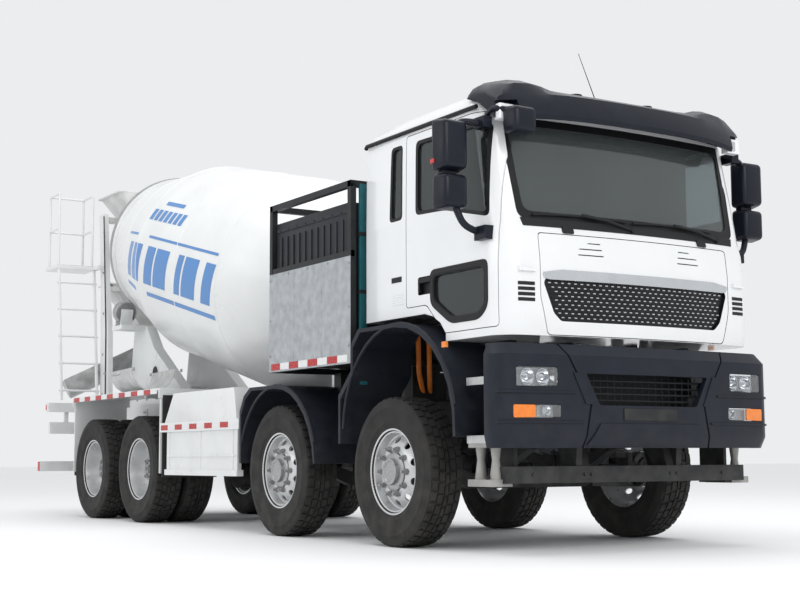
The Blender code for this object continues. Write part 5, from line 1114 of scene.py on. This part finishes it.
fenders = solid_of("rear_fenders")
for side in BOTH:
    add_tape(fenders, (-3.45, -0.98), 1.2405, (1.285, 1.335), side, 7)
    for x in (-3.51, -0.935):
        add_block(fenders, (x - 0.004, x + 0.026), sides_of(0.62, 1.20, side), (0.46, 1.27), 3)
        add_bolts(fenders, [(x + 0.03, side * y, 1.23) for y in (0.70, 0.90, 1.10)], (1, 0, 0), 0.012, 0.006, 4)
    for x in (-2.9, -2.2, -1.5):
        add_block(fenders, (x - 0.012, x + 0.012), sides_of(0.58, 1.22, side), (1.339, 1.346))
piece("fender_decks", fenders, "chassis", [BODY_WHITE, TAPE_RED, TAPE_WHITE, RUBBER, STUD_STEEL], 0.003,
      stands_for=["rear_fenders"])
tail = solid_of("tail_frame")
for side in BOTH:
    for k, paint in enumerate((1, 3, 1)):
        y = 0.84 + k * 0.12
        add_block(tail, (-4.572, -4.548), sides_of(y - 0.05, y + 0.05, side), (0.97, 1.07), paint)
    add_block(tail, (-4.858, -4.842), sides_of(1.0, 1.19, side), (0.515, 0.605), 1)
    add_block(tail, (-4.85, -4.80), sides_of(1.196, 1.206, side), (0.505, 0.615), 1)
    add_bolts(tail, [(-4.552, side * y, 1.265) for y in (0.5, 0.8, 1.1)], (-1, 0, 0), 0.012, 0.008)
add_tape(tail, (-4.54, -4.44), 1.2215, (1.235, 1.295), -1, 1)
piece("tail_beam", tail, "chassis", [BODY_WHITE, MARKER_RED, TAPE_WHITE, AMBER], 0.004,
      stands_for=["tail_frame"])

# ---------------------------------------------------------------- rack behind the cab
# A frame of black square tube with galvanised sheet sides, folded along the edges, standing on four
# feet on the chassis. Red and white tape runs along the foot of each sheet.

ZINC = finish("galvanised_sheet", (0.42, 0.44, 0.46), 0.42, metallic=0.65, mottle=14, change=0.14, bump=0.05,
              grain=60, dust=0.05, uneven=0.14)
rack = bmesh.new()
X_POSTS, Z_RAILS, TUBE = (1.475, 2.815), (1.385, 2.765), 0.025
for side in BOTH:
    y = sides_of(1.17, 1.22, side)
    for x in X_POSTS:
        add_block(rack, (x - TUBE, x + TUBE), y, (1.36, 2.79))
        add_block(rack, (x - 0.035 * (x > 2), x + 0.035 * (x < 2)), sides_of(1.165, 1.18, side), (2.20, 2.26))
    for z in Z_RAILS:
        add_block(rack, (1.45, 2.84), y, (z - TUBE, z + TUBE))
    add_block(rack, (1.45, 2.84), sides_of(1.185, 1.217, side), (2.19, 2.24))
    for x in (1.51, 2.66):
        add_block(rack, (x, x + 0.12), sides_of(0.36, 0.62, side), (1.0803, 1.37))
        add_block(rack, (x - 0.03, x + 0.15), sides_of(0.37, 0.61, side), (1.0803, 1.095))
for x in X_POSTS:
    for z in Z_RAILS:
        add_block(rack, (x - TUBE, x + TUBE), (-1.20, 1.20), (z - TUBE, z + TUBE))
    for y in (-0.45, 0.45):
        add_block(rack, (x - TUBE, x + TUBE), (y - TUBE, y + TUBE), (1.38, 2.78))
piece("rack_tubes", rack, "chassis", CHASSIS_BLACK, 0.004, stands_for=["rack_frame"])
sheets = bmesh.new()
for side in BOTH:
    add_block(sheets, (1.452, 2.838), sides_of(1.2005, 1.2225, side), (1.362, 2.195))
    for x in (1.90, 2.37):
        add_block(sheets, (x - 0.004, x + 0.004), sides_of(1.2205, 1.2245, side), (1.43, 2.18))
    add_tape(sheets, (1.50, 2.80), 1.2235, (1.376, 1.432), side, 4)
    spots = [(x, side * 1.2225, z) for x in (1.476, 2.814) for z in (1.50, 1.80, 2.14)]
    add_bolts(sheets, spots + [(x, side * 1.2225, 2.175) for x in (1.80, 2.14, 2.48)], (0, side, 0), 0.010, 0.006,
              3)
piece("rack_sheets", sheets, "chassis", [ZINC, TAPE_RED, TAPE_WHITE, STUD_STEEL], 0.003)

# ---------------------------------------------------------------- battery pack
# A dark sealed box in the rack: a ribbed tray with a bolted lid, vents on the outer side, two grab
# handles and orange high-voltage cables to a blue-green duct behind the cab.

PACK_GREY = finish("pack_case", (0.015, 0.017, 0.021), 0.5, mottle=7, change=0.15, bump=0.08, grain=200, dust=0.04,
                   gloss=0.3)
CABLE_ORANGE = finish("cable_orange", (0.75, 0.20, 0.02), 0.45, mottle=20, change=0.1)
DUCT_TEAL = finish("duct_teal", (0.01, 0.10, 0.12), 0.4, mottle=8, change=0.1)
pack = solid_of("battery_pack")
low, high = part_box("battery_pack")
for side in BOTH:
    edge = abs(low[1])
    for k in range(11):
        x = 1.62 + k * 0.105
        add_block(pack, (x - 0.014, x + 0.014), sides_of(edge - 0.004, edge + 0.010, side), (2.22, 2.50))
    add_block(pack, (1.54, 2.75), sides_of(edge - 0.004, edge + 0.006, side), (2.545, 2.575))
    add_bolts(pack, [(1.6 + k * 0.15, side * (edge + 0.006), 2.56) for k in range(8)], (0, side, 0), 0.009, 0.006)
piece("pack_case", pack, "chassis", PACK_GREY, 0.006, stands_for=["battery_pack"])
duct = bmesh.new()
for side in BOTH:
    add_block(duct, (2.842, 2.872), sides_of(1.09, 1.15, side), (1.20, 2.76))
    for z in (1.45, 1.9, 2.35):
        add_block(duct, (2.838, 2.876), sides_of(1.082, 1.158, side), (z, z + 0.03), 1)
for y, end_y in ((-0.60, -0.50), (-0.50, -0.44)):
    add_tube(duct, [(2.78, y, 1.62), (2.86, y - 0.02, 1.60), (2.87, y - 0.02, 1.30), (2.75, end_y, 1.14)], 0.02, 2,
             sides=8, bend=0.06)
piece("cable_ducts", duct, "chassis", [DUCT_TEAL, CHASSIS_BLACK, CABLE_ORANGE], 0.003)

# ---------------------------------------------------------------- mixer subframe and pedestals
# White beams lie on the rails, shackled down. The front pedestal carries the drum's gearbox, and
# the rear one stands in a broad V with a round hole and carries the rollers between cheeks.

sub = solid_of("mixer_subframe")
for side in BOTH:
    for x in (0.75, -0.2, -1.0, -2.2, -3.3):
        add_block(sub, (x - 0.05, x + 0.05), sides_of(0.425, 0.442, side), (0.98, 1.22))
        add_bolts(sub, [(x + dx, side * 0.442, z) for dx in (-0.025, 0.025) for z in (1.02, 1.18)], (0, side, 0),
                  0.012, 0.009, 1)
piece("mixer_beams", sub, "chassis", [BODY_WHITE, STUD_STEEL], 0.004,
      stands_for=["mixer_subframe"])
front_stand = solid_of("front_pedestal")
add_bolts(front_stand, [(1.24 + 0.06 * k, side * 0.38, 1.385) for k in (-1, 1) for side in BOTH], (0, 0, 1), 0.014,
          0.01, 1)
piece("gearbox_stand", front_stand, "chassis", [BODY_WHITE, STUD_STEEL], 0.005,
      stands_for=["front_pedestal"])
DRUM_SLOPE = radians(13.4)
DRUM_FRONT = Vector((0.92, 0, 2.10))
DRUM_TURN = Vector((-cos(DRUM_SLOPE), 0, sin(DRUM_SLOPE))).to_track_quat("Z", "Y").to_matrix().to_4x4()
DRUM_AT = Matrix.Translation(DRUM_FRONT) @ DRUM_TURN
SCREW_HEAD = DRUM_TURN.to_3x3() @ Vector((0, 0, 0.014))
gearbox = bmesh.new()
add_turned(gearbox, [(0, -0.478), (0.10, -0.478), (0.11, -0.45), (0.148, -0.44), (0.148, -0.30), (0.142, -0.29),
                     (0.142, -0.20), (0.148, -0.19), (0.148, -0.16), (0.188, -0.155), (0.188, -0.065), (0, -0.065)],
           DRUM_AT, 40)
for a in angles(16):
    start = DRUM_AT @ Vector((0.168 * cos(a), 0.168 * sin(a), -0.155))
    add_rod(gearbox, start, start - SCREW_HEAD, 0.011, 6, paint=1)
add_rod(gearbox, DRUM_AT @ Vector((0.06, 0.0, -0.60)), DRUM_AT @ Vector((0.06, 0, -0.47)), 0.075, 24)
piece("drum_gearbox_case", gearbox, "chassis", [MOTOR_GREY, STUD_STEEL], 0.004,
      stands_for=["drum_gearbox"])
rear_stand = solid_of("rear_pedestal")
for side in BOTH:
    # A black disc in each round hole is painted shade: it stands for the dark inside of the hole, and a white ring
    # rims it.
    add_rod(rear_stand, (-3.05, side * 0.415, 1.62), (-3.05, side * 0.424, 1.62), 0.085, 32, paint=1)
    add_turned(rear_stand, [(0.085, 0), (0.105, 0), (0.105, 0.008), (0.085, 0.008)],
               Matrix.Translation((-3.05, side * 0.42, 1.62)) @ Matrix.Rotation(-side * pi / 2, 4, "X"), 32, 0,
               True)
    add_bolts(rear_stand, [(x, side * 0.42, 1.33) for x in (-3.6, -3.3, -3.0, -2.7, -2.4)], (0, side, 0), 0.013,
              0.01, 2)
piece("roller_stand", rear_stand, "chassis", [BODY_WHITE, CHASSIS_BLACK, STUD_STEEL], 0.005,
      stands_for=["rear_pedestal"])

# ---------------------------------------------------------------- drum
# A white welded shell: a dished front, two cones, a machined rolling track, and a mouth with the
# ends of its mixing spirals. Weld beads ring it, a hatch is bolted to its side, and plain blue
# bars are painted along it.

DRUM_WHITE = finish("drum_white", (0.76, 0.77, 0.77), 0.36, mottle=2.5, change=0.035, bump=0.05, grain=90,
                    dust=0.06, coat=0.35, uneven=0.1)
BAND_BLUE = finish("band_blue", (0.035, 0.20, 0.52), 0.36, mottle=8, change=0.06, bump=0.04, coat=0.35)
TRACK_STEEL = finish("track_steel", (0.40, 0.40, 0.40), 0.34, metallic=0.85, mottle=16, change=0.15, bump=0.1)
SPIRAL_GREY = finish("spiral_grey", (0.22, 0.215, 0.20), 0.75, mottle=10, change=0.3, bump=0.5, grain=60, dust=0.2)
SHELL_R = ((0.0, 0.36), (0.02, 0.42), (0.06, 0.545), (0.12, 0.66), (0.19, 0.735), (0.28, 0.80), (0.92, 1.0625),
           (0.98, 1.075), (3.02, 1.075), (3.08, 1.0695), (4.36, 0.822))
drum = bmesh.new()
outside = [(0.155, -0.058), (0.155, 0.0)] + [(r, x) for x, r in SHELL_R]
outside += [(0.82, 4.372), (0.858, 4.374), (0.86, 4.38), (0.86, 4.462), (0.858, 4.468), (0.80, 4.47),
            (0.605, 4.985), (0.618, 4.99), (0.618, 5.0), (0.585, 5.0)]
inner = [(0.585, 4.97), (0.78, 4.45), (1.05, 3.06), (1.05, 0.98), (0.78, 0.31), (0.65, 0.15), (0.42, 0.05),
         (0.0, 0.035)]
add_turned(drum, outside + inner, DRUM_AT, 96)
add_turned(drum, [(0.0, -0.058), (0.156, -0.058)], DRUM_AT, 96)
for at in (0.28, 0.95, 2.0, 3.05, 3.72):
    r = along(SHELL_R, at)
    add_turned(drum, [(r - 0.003, at - 0.014), (r + 0.0045, at - 0.005), (r + 0.0045, at + 0.005),
                      (r - 0.003, at + 0.014)],
               DRUM_AT, 96)
add_turned(drum, [(0.862, 4.385), (0.8625, 4.39), (0.8625, 4.455), (0.862, 4.46)], DRUM_AT, 96, 2)
for a in angles(24):
    start = DRUM_AT @ Vector((0.36 * cos(a), 0.36 * sin(a), 0.0))
    add_rod(drum, start, start - SCREW_HEAD, 0.012, 6, paint=3)


def drum_point(at, turn, off):
    """A point off the shell at a distance behind its front, turned from straight down to the left."""
    a = radians(turn)
    outwards = Vector((-sin(DRUM_SLOPE) * cos(a), sin(a), -cos(DRUM_SLOPE) * cos(a)))
    return DRUM_AT @ Vector((0, 0, at)) + (along(SHELL_R, at) + off) * outwards


def add_patch(bm, x, turn, slant=0.0, off=0.0022):
    """A patch on the shell between two distances and two angles, leaning by the slant."""
    for vert in bmesh.ops.create_grid(bm, x_segments=6, y_segments=8, size=0.5)["verts"]:
        u, v = vert.co.x + 0.5, vert.co.y + 0.5
        angle = turn[0] + (turn[1] - turn[0]) * v
        vert.co = drum_point(x[0] + (x[1] - x[0]) * u + slant * (v - 0.5), angle, off)


bars = bmesh.new()
for side in BOTH:
    for k, wide in enumerate((0.22, 0.34, 0.14, 0.34, 0.22, 0.30, 0.16)):
        start = 1.02 + 0.385 * k
        add_patch(bars, (start, start + wide), (side * 76, side * 98), -0.10)
    add_patch(bars, (0.98, 3.62), (side * 69, side * 71.5))
    add_patch(bars, (0.98, 3.62), (side * 102.5, side * 104))
    for k in range(7):
        add_patch(bars, (2.10 + 0.13 * k, 2.19 + 0.13 * k), (side * 113, side * 120), -0.03)
    add_patch(bars, (2.30, 2.78), (side * 123.5, side * 126))
piece("drum_bands", bars, "drum", BAND_BLUE)
hatch = bmesh.new()
add_patch(hatch, (2.15, 2.75), (36, 56), off=0.014)
grown = bmesh.ops.extrude_face_region(hatch, geom=hatch.faces[:])
for item in grown["geom"]:
    if isinstance(item, bmesh.types.BMVert):
        item.co += (Vector((item.co.x, 0, 2.6)) - item.co).normalized() * 0.02
for at in (2.19, 2.45, 2.71):
    for turn in (38, 54):
        start = drum_point(at, turn, 0.010)
        add_rod(hatch, start, drum_point(at, turn, 0.028), 0.014, 6, paint=1)
piece("drum_hatch", hatch, "drum", [DRUM_WHITE, STUD_STEEL], 0.003)
for start_turn in (0, 180):
    blade = []
    for step in range(31):
        at = 3.1 + step * 0.06
        a = radians(start_turn + step * 14)
        outer = min(1.04, along(((3.0, 1.04), (4.45, 0.775), (4.97, 0.582)), at))
        for r in (outer, outer - 0.26):
            blade.append(drum.verts.new(DRUM_AT @ Vector((r * cos(a), r * sin(a), at))))
    outer_edges = [drum.edges.new((a, b)) for a, b in zip(blade[0::2], blade[2::2])]
    inner_edges = [drum.edges.new((a, b)) for a, b in zip(blade[1::2], blade[3::2])]
    bmesh.ops.bridge_loops(drum, edges=outer_edges + inner_edges)
    painted(blade, 4)
piece("drum_shell", drum, "drum", [DRUM_WHITE, BAND_BLUE, TRACK_STEEL, STUD_STEEL, SPIRAL_GREY],
      stands_for=["drum"], angle=30)

# ---------------------------------------------------------------- drum rollers
# Steel rollers with a slight crown and dished faces.

for label, side in SIDES.items():
    centre = Vector((-3.56202, side * 0.614345, 2.359435))
    roller = bmesh.new()
    add_turned(roller,
               [(0.037, 0.059), (0.075, 0.059), (0.082, 0.048), (0.10, 0.048), (0.106, 0.059), (0.124, 0.059),
                        (0.1285, 0.052), (0.1295, 0.0), (0.1285, -0.052), (0.124, -0.059), (0.106, -0.059),
                        (0.10, -0.048), (0.082, -0.048), (0.075, -0.059), (0.037, -0.059)],
               Matrix.Translation(centre) @ DRUM_TURN, 48, 0, True)
    piece(f"track_roller_{label}", roller, f"roller_{label}", TRACK_STEEL,
          stands_for=[f"roller_{label}"], angle=30)

# ---------------------------------------------------------------- rear tower and hoppers
# Two curved plate posts carry the charging hopper over the drum's mouth and the discharge hopper
# under it. The hoppers are folded sheet with a rolled rim and wear plates held by round heads.

HOPPER_STEEL = finish("hopper_sheet", (0.66, 0.66, 0.65), 0.4, mottle=6, change=0.12, bump=0.12, grain=80,
                      dust=0.12, uneven=0.12)
tower = solid_of("rear_tower")
for side in BOTH:
    for z in (1.42, 1.9, 2.4, 2.9, 3.4):
        add_bolts(tower, [(-4.14 - 0.03 * (z > 2.6), side * 0.66, z)], (0, side, 0), 0.014, 0.010, 1)
    add_tube(tower, [(-4.02, side * 0.667, 1.36), (-4.04, side * 0.667, 2.2), (-4.11, side * 0.667, 2.9),
                     (-4.18, side * 0.667, 3.6)], 0.007, 2, sides=6)
piece("tower_posts", tower, "chassis", [BODY_WHITE, STUD_STEEL, CHASSIS_BLACK], 0.005,
      stands_for=["rear_tower"])
for name in ("charge_hopper", "discharge_hopper"):
    hopper = solid_of(name)
    low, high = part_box(name)
    inset = 0.012
    rim = [(low[0] + inset, low[1] + inset), (high[0] - inset, low[1] + inset), (high[0] - inset, high[1] - inset),
           (low[0] + inset, high[1] - inset)]
    for (ax, ay), (bx, by) in zip(rim, rim[1:] + rim[:1]):
        add_rod(hopper, (ax, ay, high[2] - 0.008), (bx, by, high[2] - 0.008), 0.012, 12)
    for side in BOTH:
        add_bolts(hopper, [(x, side * 0.30, low[2] + 0.10) for x in (-4.2, -4.1)], (0, side, 0), 0.010, 0.006, 1)
    piece(f"{name}_sheet", hopper, "chassis", [HOPPER_STEEL, STUD_STEEL], 0.003,
          stands_for=[name])

# ---------------------------------------------------------------- ladder and platform
# White tube: two stiles with round rungs and a small platform of open grating with bent guard rails.

ladder = solid_of("ladder_platform")
for k in range(13):
    x = -4.765 + k * 0.033
    add_block(ladder, (x - 0.003, x + 0.003), (-1.17, -0.71), (2.984, 2.996), 1)
for k in range(6):
    y = -1.15 + k * 0.085
    add_block(ladder, (-4.77, -4.36), (y - 0.003, y + 0.003), (2.986, 2.994), 1)
for k in range(5):
    x, z = Vector((-4.18, 1.345)).lerp(Vector((-4.38, 2.99)), (k + 0.35) / 5)
    for y in (-1.15, -0.71):
        add_rod(ladder, (x, y - 0.024, z), (x, y + 0.024, z), 0.018, 12)
piece("ladder_rails", ladder, "chassis", [BODY_WHITE, STEP_ALLOY], 0.002,
      stands_for=["ladder_platform"])

# ---------------------------------------------------------------- discharge chutes
# Curved steel troughs with rolled rims, a swinging post with a lifting ram, and the spare length
# lying on the right fender.

TROUGH_GREY = finish("trough_steel", (0.52, 0.525, 0.52), 0.45, metallic=0.25, mottle=9, change=0.2, bump=0.25,
                     grain=70, dust=0.1, uneven=0.15)
post = solid_of("chute_post")
add_rod(post, (-4.35, 0, 1.62), (-4.35, 0, 1.66), 0.062, 24)
add_bolts(post, [(-4.35 + 0.05 * cos(a), 0.05 * sin(a), 1.66) for a in (0.4, 1.97, 3.54, 5.11)], (0, 0, 1), 0.009,
          0.007, 1)
piece("chute_swing_post", post, "chute_swing", [BODY_WHITE, STUD_STEEL], 0.004,
      stands_for=["chute_post"])
piece("main_chute_trough", solid_of("main_chute"), "main_chute", TROUGH_GREY, 0.003,
      stands_for=["main_chute"])
spare = solid_of("spare_chute")
low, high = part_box("spare_chute")
for x in (low[0] + 0.02, high[0] - 0.02):
    for side in BOTH:
        y = (low[1] + high[1]) / 2 + side * (high[1] - low[1]) * 0.47
        add_rod(spare, (x, y, high[2] - 0.03), (x, y, high[2] + 0.004), 0.012, 12, paint=1)
x = (low[0] + high[0]) / 2
add_tube(spare, [(x - 0.08, low[1] - 0.004, high[2] - 0.05), (x - 0.08, low[1] - 0.03, high[2] - 0.06),
                 (x + 0.08, low[1] - 0.03, high[2] - 0.06), (x + 0.08, low[1] - 0.004, high[2] - 0.05)],
         0.008, 1, sides=8, bend=0.02)
piece("spare_chute_trough", spare, "chassis", [TROUGH_GREY, STUD_STEEL], 0.003,
      stands_for=["spare_chute"])

# ---------------------------------------------------------------- dashboard and steering wheel
# A moulded dashboard with a hooded cluster, two vents and a shelf, and a four-spoke wheel on the left.

DASH = finish("dash_plastic", (0.028, 0.029, 0.032), 0.7, mottle=10, change=0.12, bump=0.15, grain=260)
dash = bmesh.new()
DASH_LINE = [(4.28, 1.78), (4.52, 1.78), (4.535, 2.10), (4.52, 2.155), (4.44, 2.185), (4.37, 2.19), (4.30, 2.15),
             (4.265, 2.08), (4.27, 1.95)]
add_plate(dash, DASH_LINE, -1.02, 1.02)
add_plate(dash, [(4.30, 2.14), (4.42, 2.18), (4.40, 2.235), (4.33, 2.24), (4.295, 2.21)], 0.32, 0.72)
add_block(dash, (4.37, 4.50), (-0.35, 0.35), (1.525, 1.80))
for y in (-0.85, -0.25, 0.18, 0.88):
    add_block(dash, (4.262, 4.272), (y - 0.07, y + 0.07), (2.03, 2.08), 1)
add_block(dash, (4.258, 4.27), (-0.12, 0.12), (1.84, 1.99), 2)
wheel_at = Matrix.Translation((4.14, 0.52, 2.16)) @ Matrix.Rotation(radians(-55), 4, "Y")
ring = [(0.2175 + 0.016 * cos(a), 0.016 * sin(a)) for a in angles(12)]
add_turned(dash, ring, wheel_at, 40, 1, True)
for turn in (20, 160, 215, 325):
    a = radians(turn)
    add_rod(dash, wheel_at @ Vector((0.03 * cos(a), 0.03 * sin(a), -0.01)),
            wheel_at @ Vector((0.212 * cos(a), 0.212 * sin(a), 0)), 0.016, 10, 0.012, 1)
add_turned(dash, [(0, 0.012), (0.055, 0.010), (0.07, -0.005), (0.05, -0.03), (0, -0.035)], wheel_at, 28, 1)
add_rod(dash, (4.14, 0.52, 2.14), (4.37, 0.52, 1.98), 0.034, 20, 0.045, 1)
piece("dash_moulding", dash, "cab", [DASH, SEAL, LAMP_CLEAR], 0.008,
      stands_for=["dashboard"],
      rounds=3)

# ---------------------------------------------------------------- seats
# Two sprung seats on the raised floor: foam cushions, crowned and full, in grey cloth, with a
# head restraint each, on a carpeted riser and black scissor bases.

SEAT_CLOTH = finish("seat_cloth", (0.055, 0.058, 0.065), 0.9, mottle=40, change=0.25, bump=0.5, grain=420)
SEAT_CLOTH.node_tree.nodes["Principled BSDF"].inputs["Sheen Weight"].default_value = 0.3


def cushion(name, x, y, z, crown, lean=0.0):
    """A foam pad: crowned faces and round edges."""
    bm = bmesh.new()
    bmesh.ops.create_cube(bm, size=2)
    bmesh.ops.subdivide_edges(bm, edges=bm.edges, cuts=9, use_grid_fill=True)
    half = Vector((x[1] - x[0], y[1] - y[0], z[1] - z[0])) / 2
    middle = Vector((x[0] + x[1], y[0] + y[1], z[0] + z[1])) / 2
    thin = min(range(3), key=lambda axis: half[axis])
    for vert in bm.verts:
        u = vert.co.copy()
        ball = u.normalized() * max(abs(v) for v in u)
        u = u.lerp(ball, 0.16)
        others = [axis for axis in range(3) if axis != thin]
        dome = (1 - min(1, abs(u[others[0]])) ** 2) * (1 - min(1, abs(u[others[1]])) ** 2)
        place = Vector([u[axis] * half[axis] for axis in range(3)])
        place[thin] += crown * dome * (1 if u[thin] > 0 else -1) * abs(u[thin])
        place.x -= lean * u.z
        vert.co = place + middle
    pad = piece(name, bm, "cab", SEAT_CLOTH, angle=70)
    smooth = pad.modifiers.new("soft", "SUBSURF")
    smooth.levels = smooth.render_levels = 1
    return pad


riser = bmesh.new()
add_block(riser, (3.04, 3.92), (-0.95, 0.95), (1.742, 1.86))
for side in BOTH:
    add_block(riser, (3.38, 3.80), sides_of(0.34, 0.72, side), (1.86, 1.99), 1)
    for y in (0.46, 0.60):
        add_rod(riser, (3.27, side * y, 2.66), (3.27, side * y, 2.80), 0.008, 10, paint=1)
piece("seat_risers", riser, "cab", [LINING, SEAL], 0.01, stands_for=["seats"])
for label, side in SIDES.items():
    cushion(f"seat_base_{label}", (3.34, 3.84), sides_of(0.29, 0.77, side), (1.985, 2.145), 0.022)
    cushion(f"seat_back_{label}", (3.225, 3.365), sides_of(0.30, 0.76, side), (2.06, 2.70), 0.022, 0.03)
    cushion(f"seat_head_{label}", (3.20, 3.30), sides_of(0.40, 0.66, side), (2.71, 2.90), 0.015)

# ---------------------------------------------------------------- chassis fittings
# Air bottles and a silver canister inboard of the side guards, valves on the rail, hoses along the
# frame, and a pillar plate in front of the tandem.

fittings = bmesh.new()
for side in BOTH:
    add_turned(fittings, [(0, 0.30), (0.06, 0.295), (0.10, 0.27), (0.11, 0.24), (0.11, -0.24), (0.10, -0.27),
                          (0.06, -0.295), (0, -0.30)],
               Matrix.Translation((0.42, side * 0.62, 0.80)) @ Matrix.Rotation(pi / 2, 4, "Y"), 32, 0)
    add_rod(fittings, (0.86, side * 0.70, 0.95), (0.86, side * 0.70, 1.17), 0.07, 24, paint=1)
    add_rod(fittings, (0.86, side * 0.70, 1.17), (0.86, side * 0.70, 1.20), 0.055, 24, paint=1)
    add_block(fittings, (-0.1, 0.9), sides_of(0.43, 0.56, side), (0.93, 0.97))
    add_block(fittings, (0.80, 0.92), sides_of(0.54, 0.72, side), (0.935, 0.965))
    for x in (0.2, 0.64):
        add_block(fittings, (x - 0.02, x + 0.02), sides_of(0.44, 0.62, side), (0.89, 0.935))
    for z in (0.90, 0.925, 0.95):
        add_tube(fittings, [(4.3, side * 0.405, z), (2.5, side * 0.405, z + 0.01), (0.9, side * 0.405, z),
                            (-1.1, side * 0.405, z + 0.01), (-4.2, side * 0.405, z)], 0.008, 2, sides=6)
piece("air_bottles_and_lines", fittings, "chassis", [CHASSIS_BLACK, SATIN_SILVER, RUBBER], 0.003)
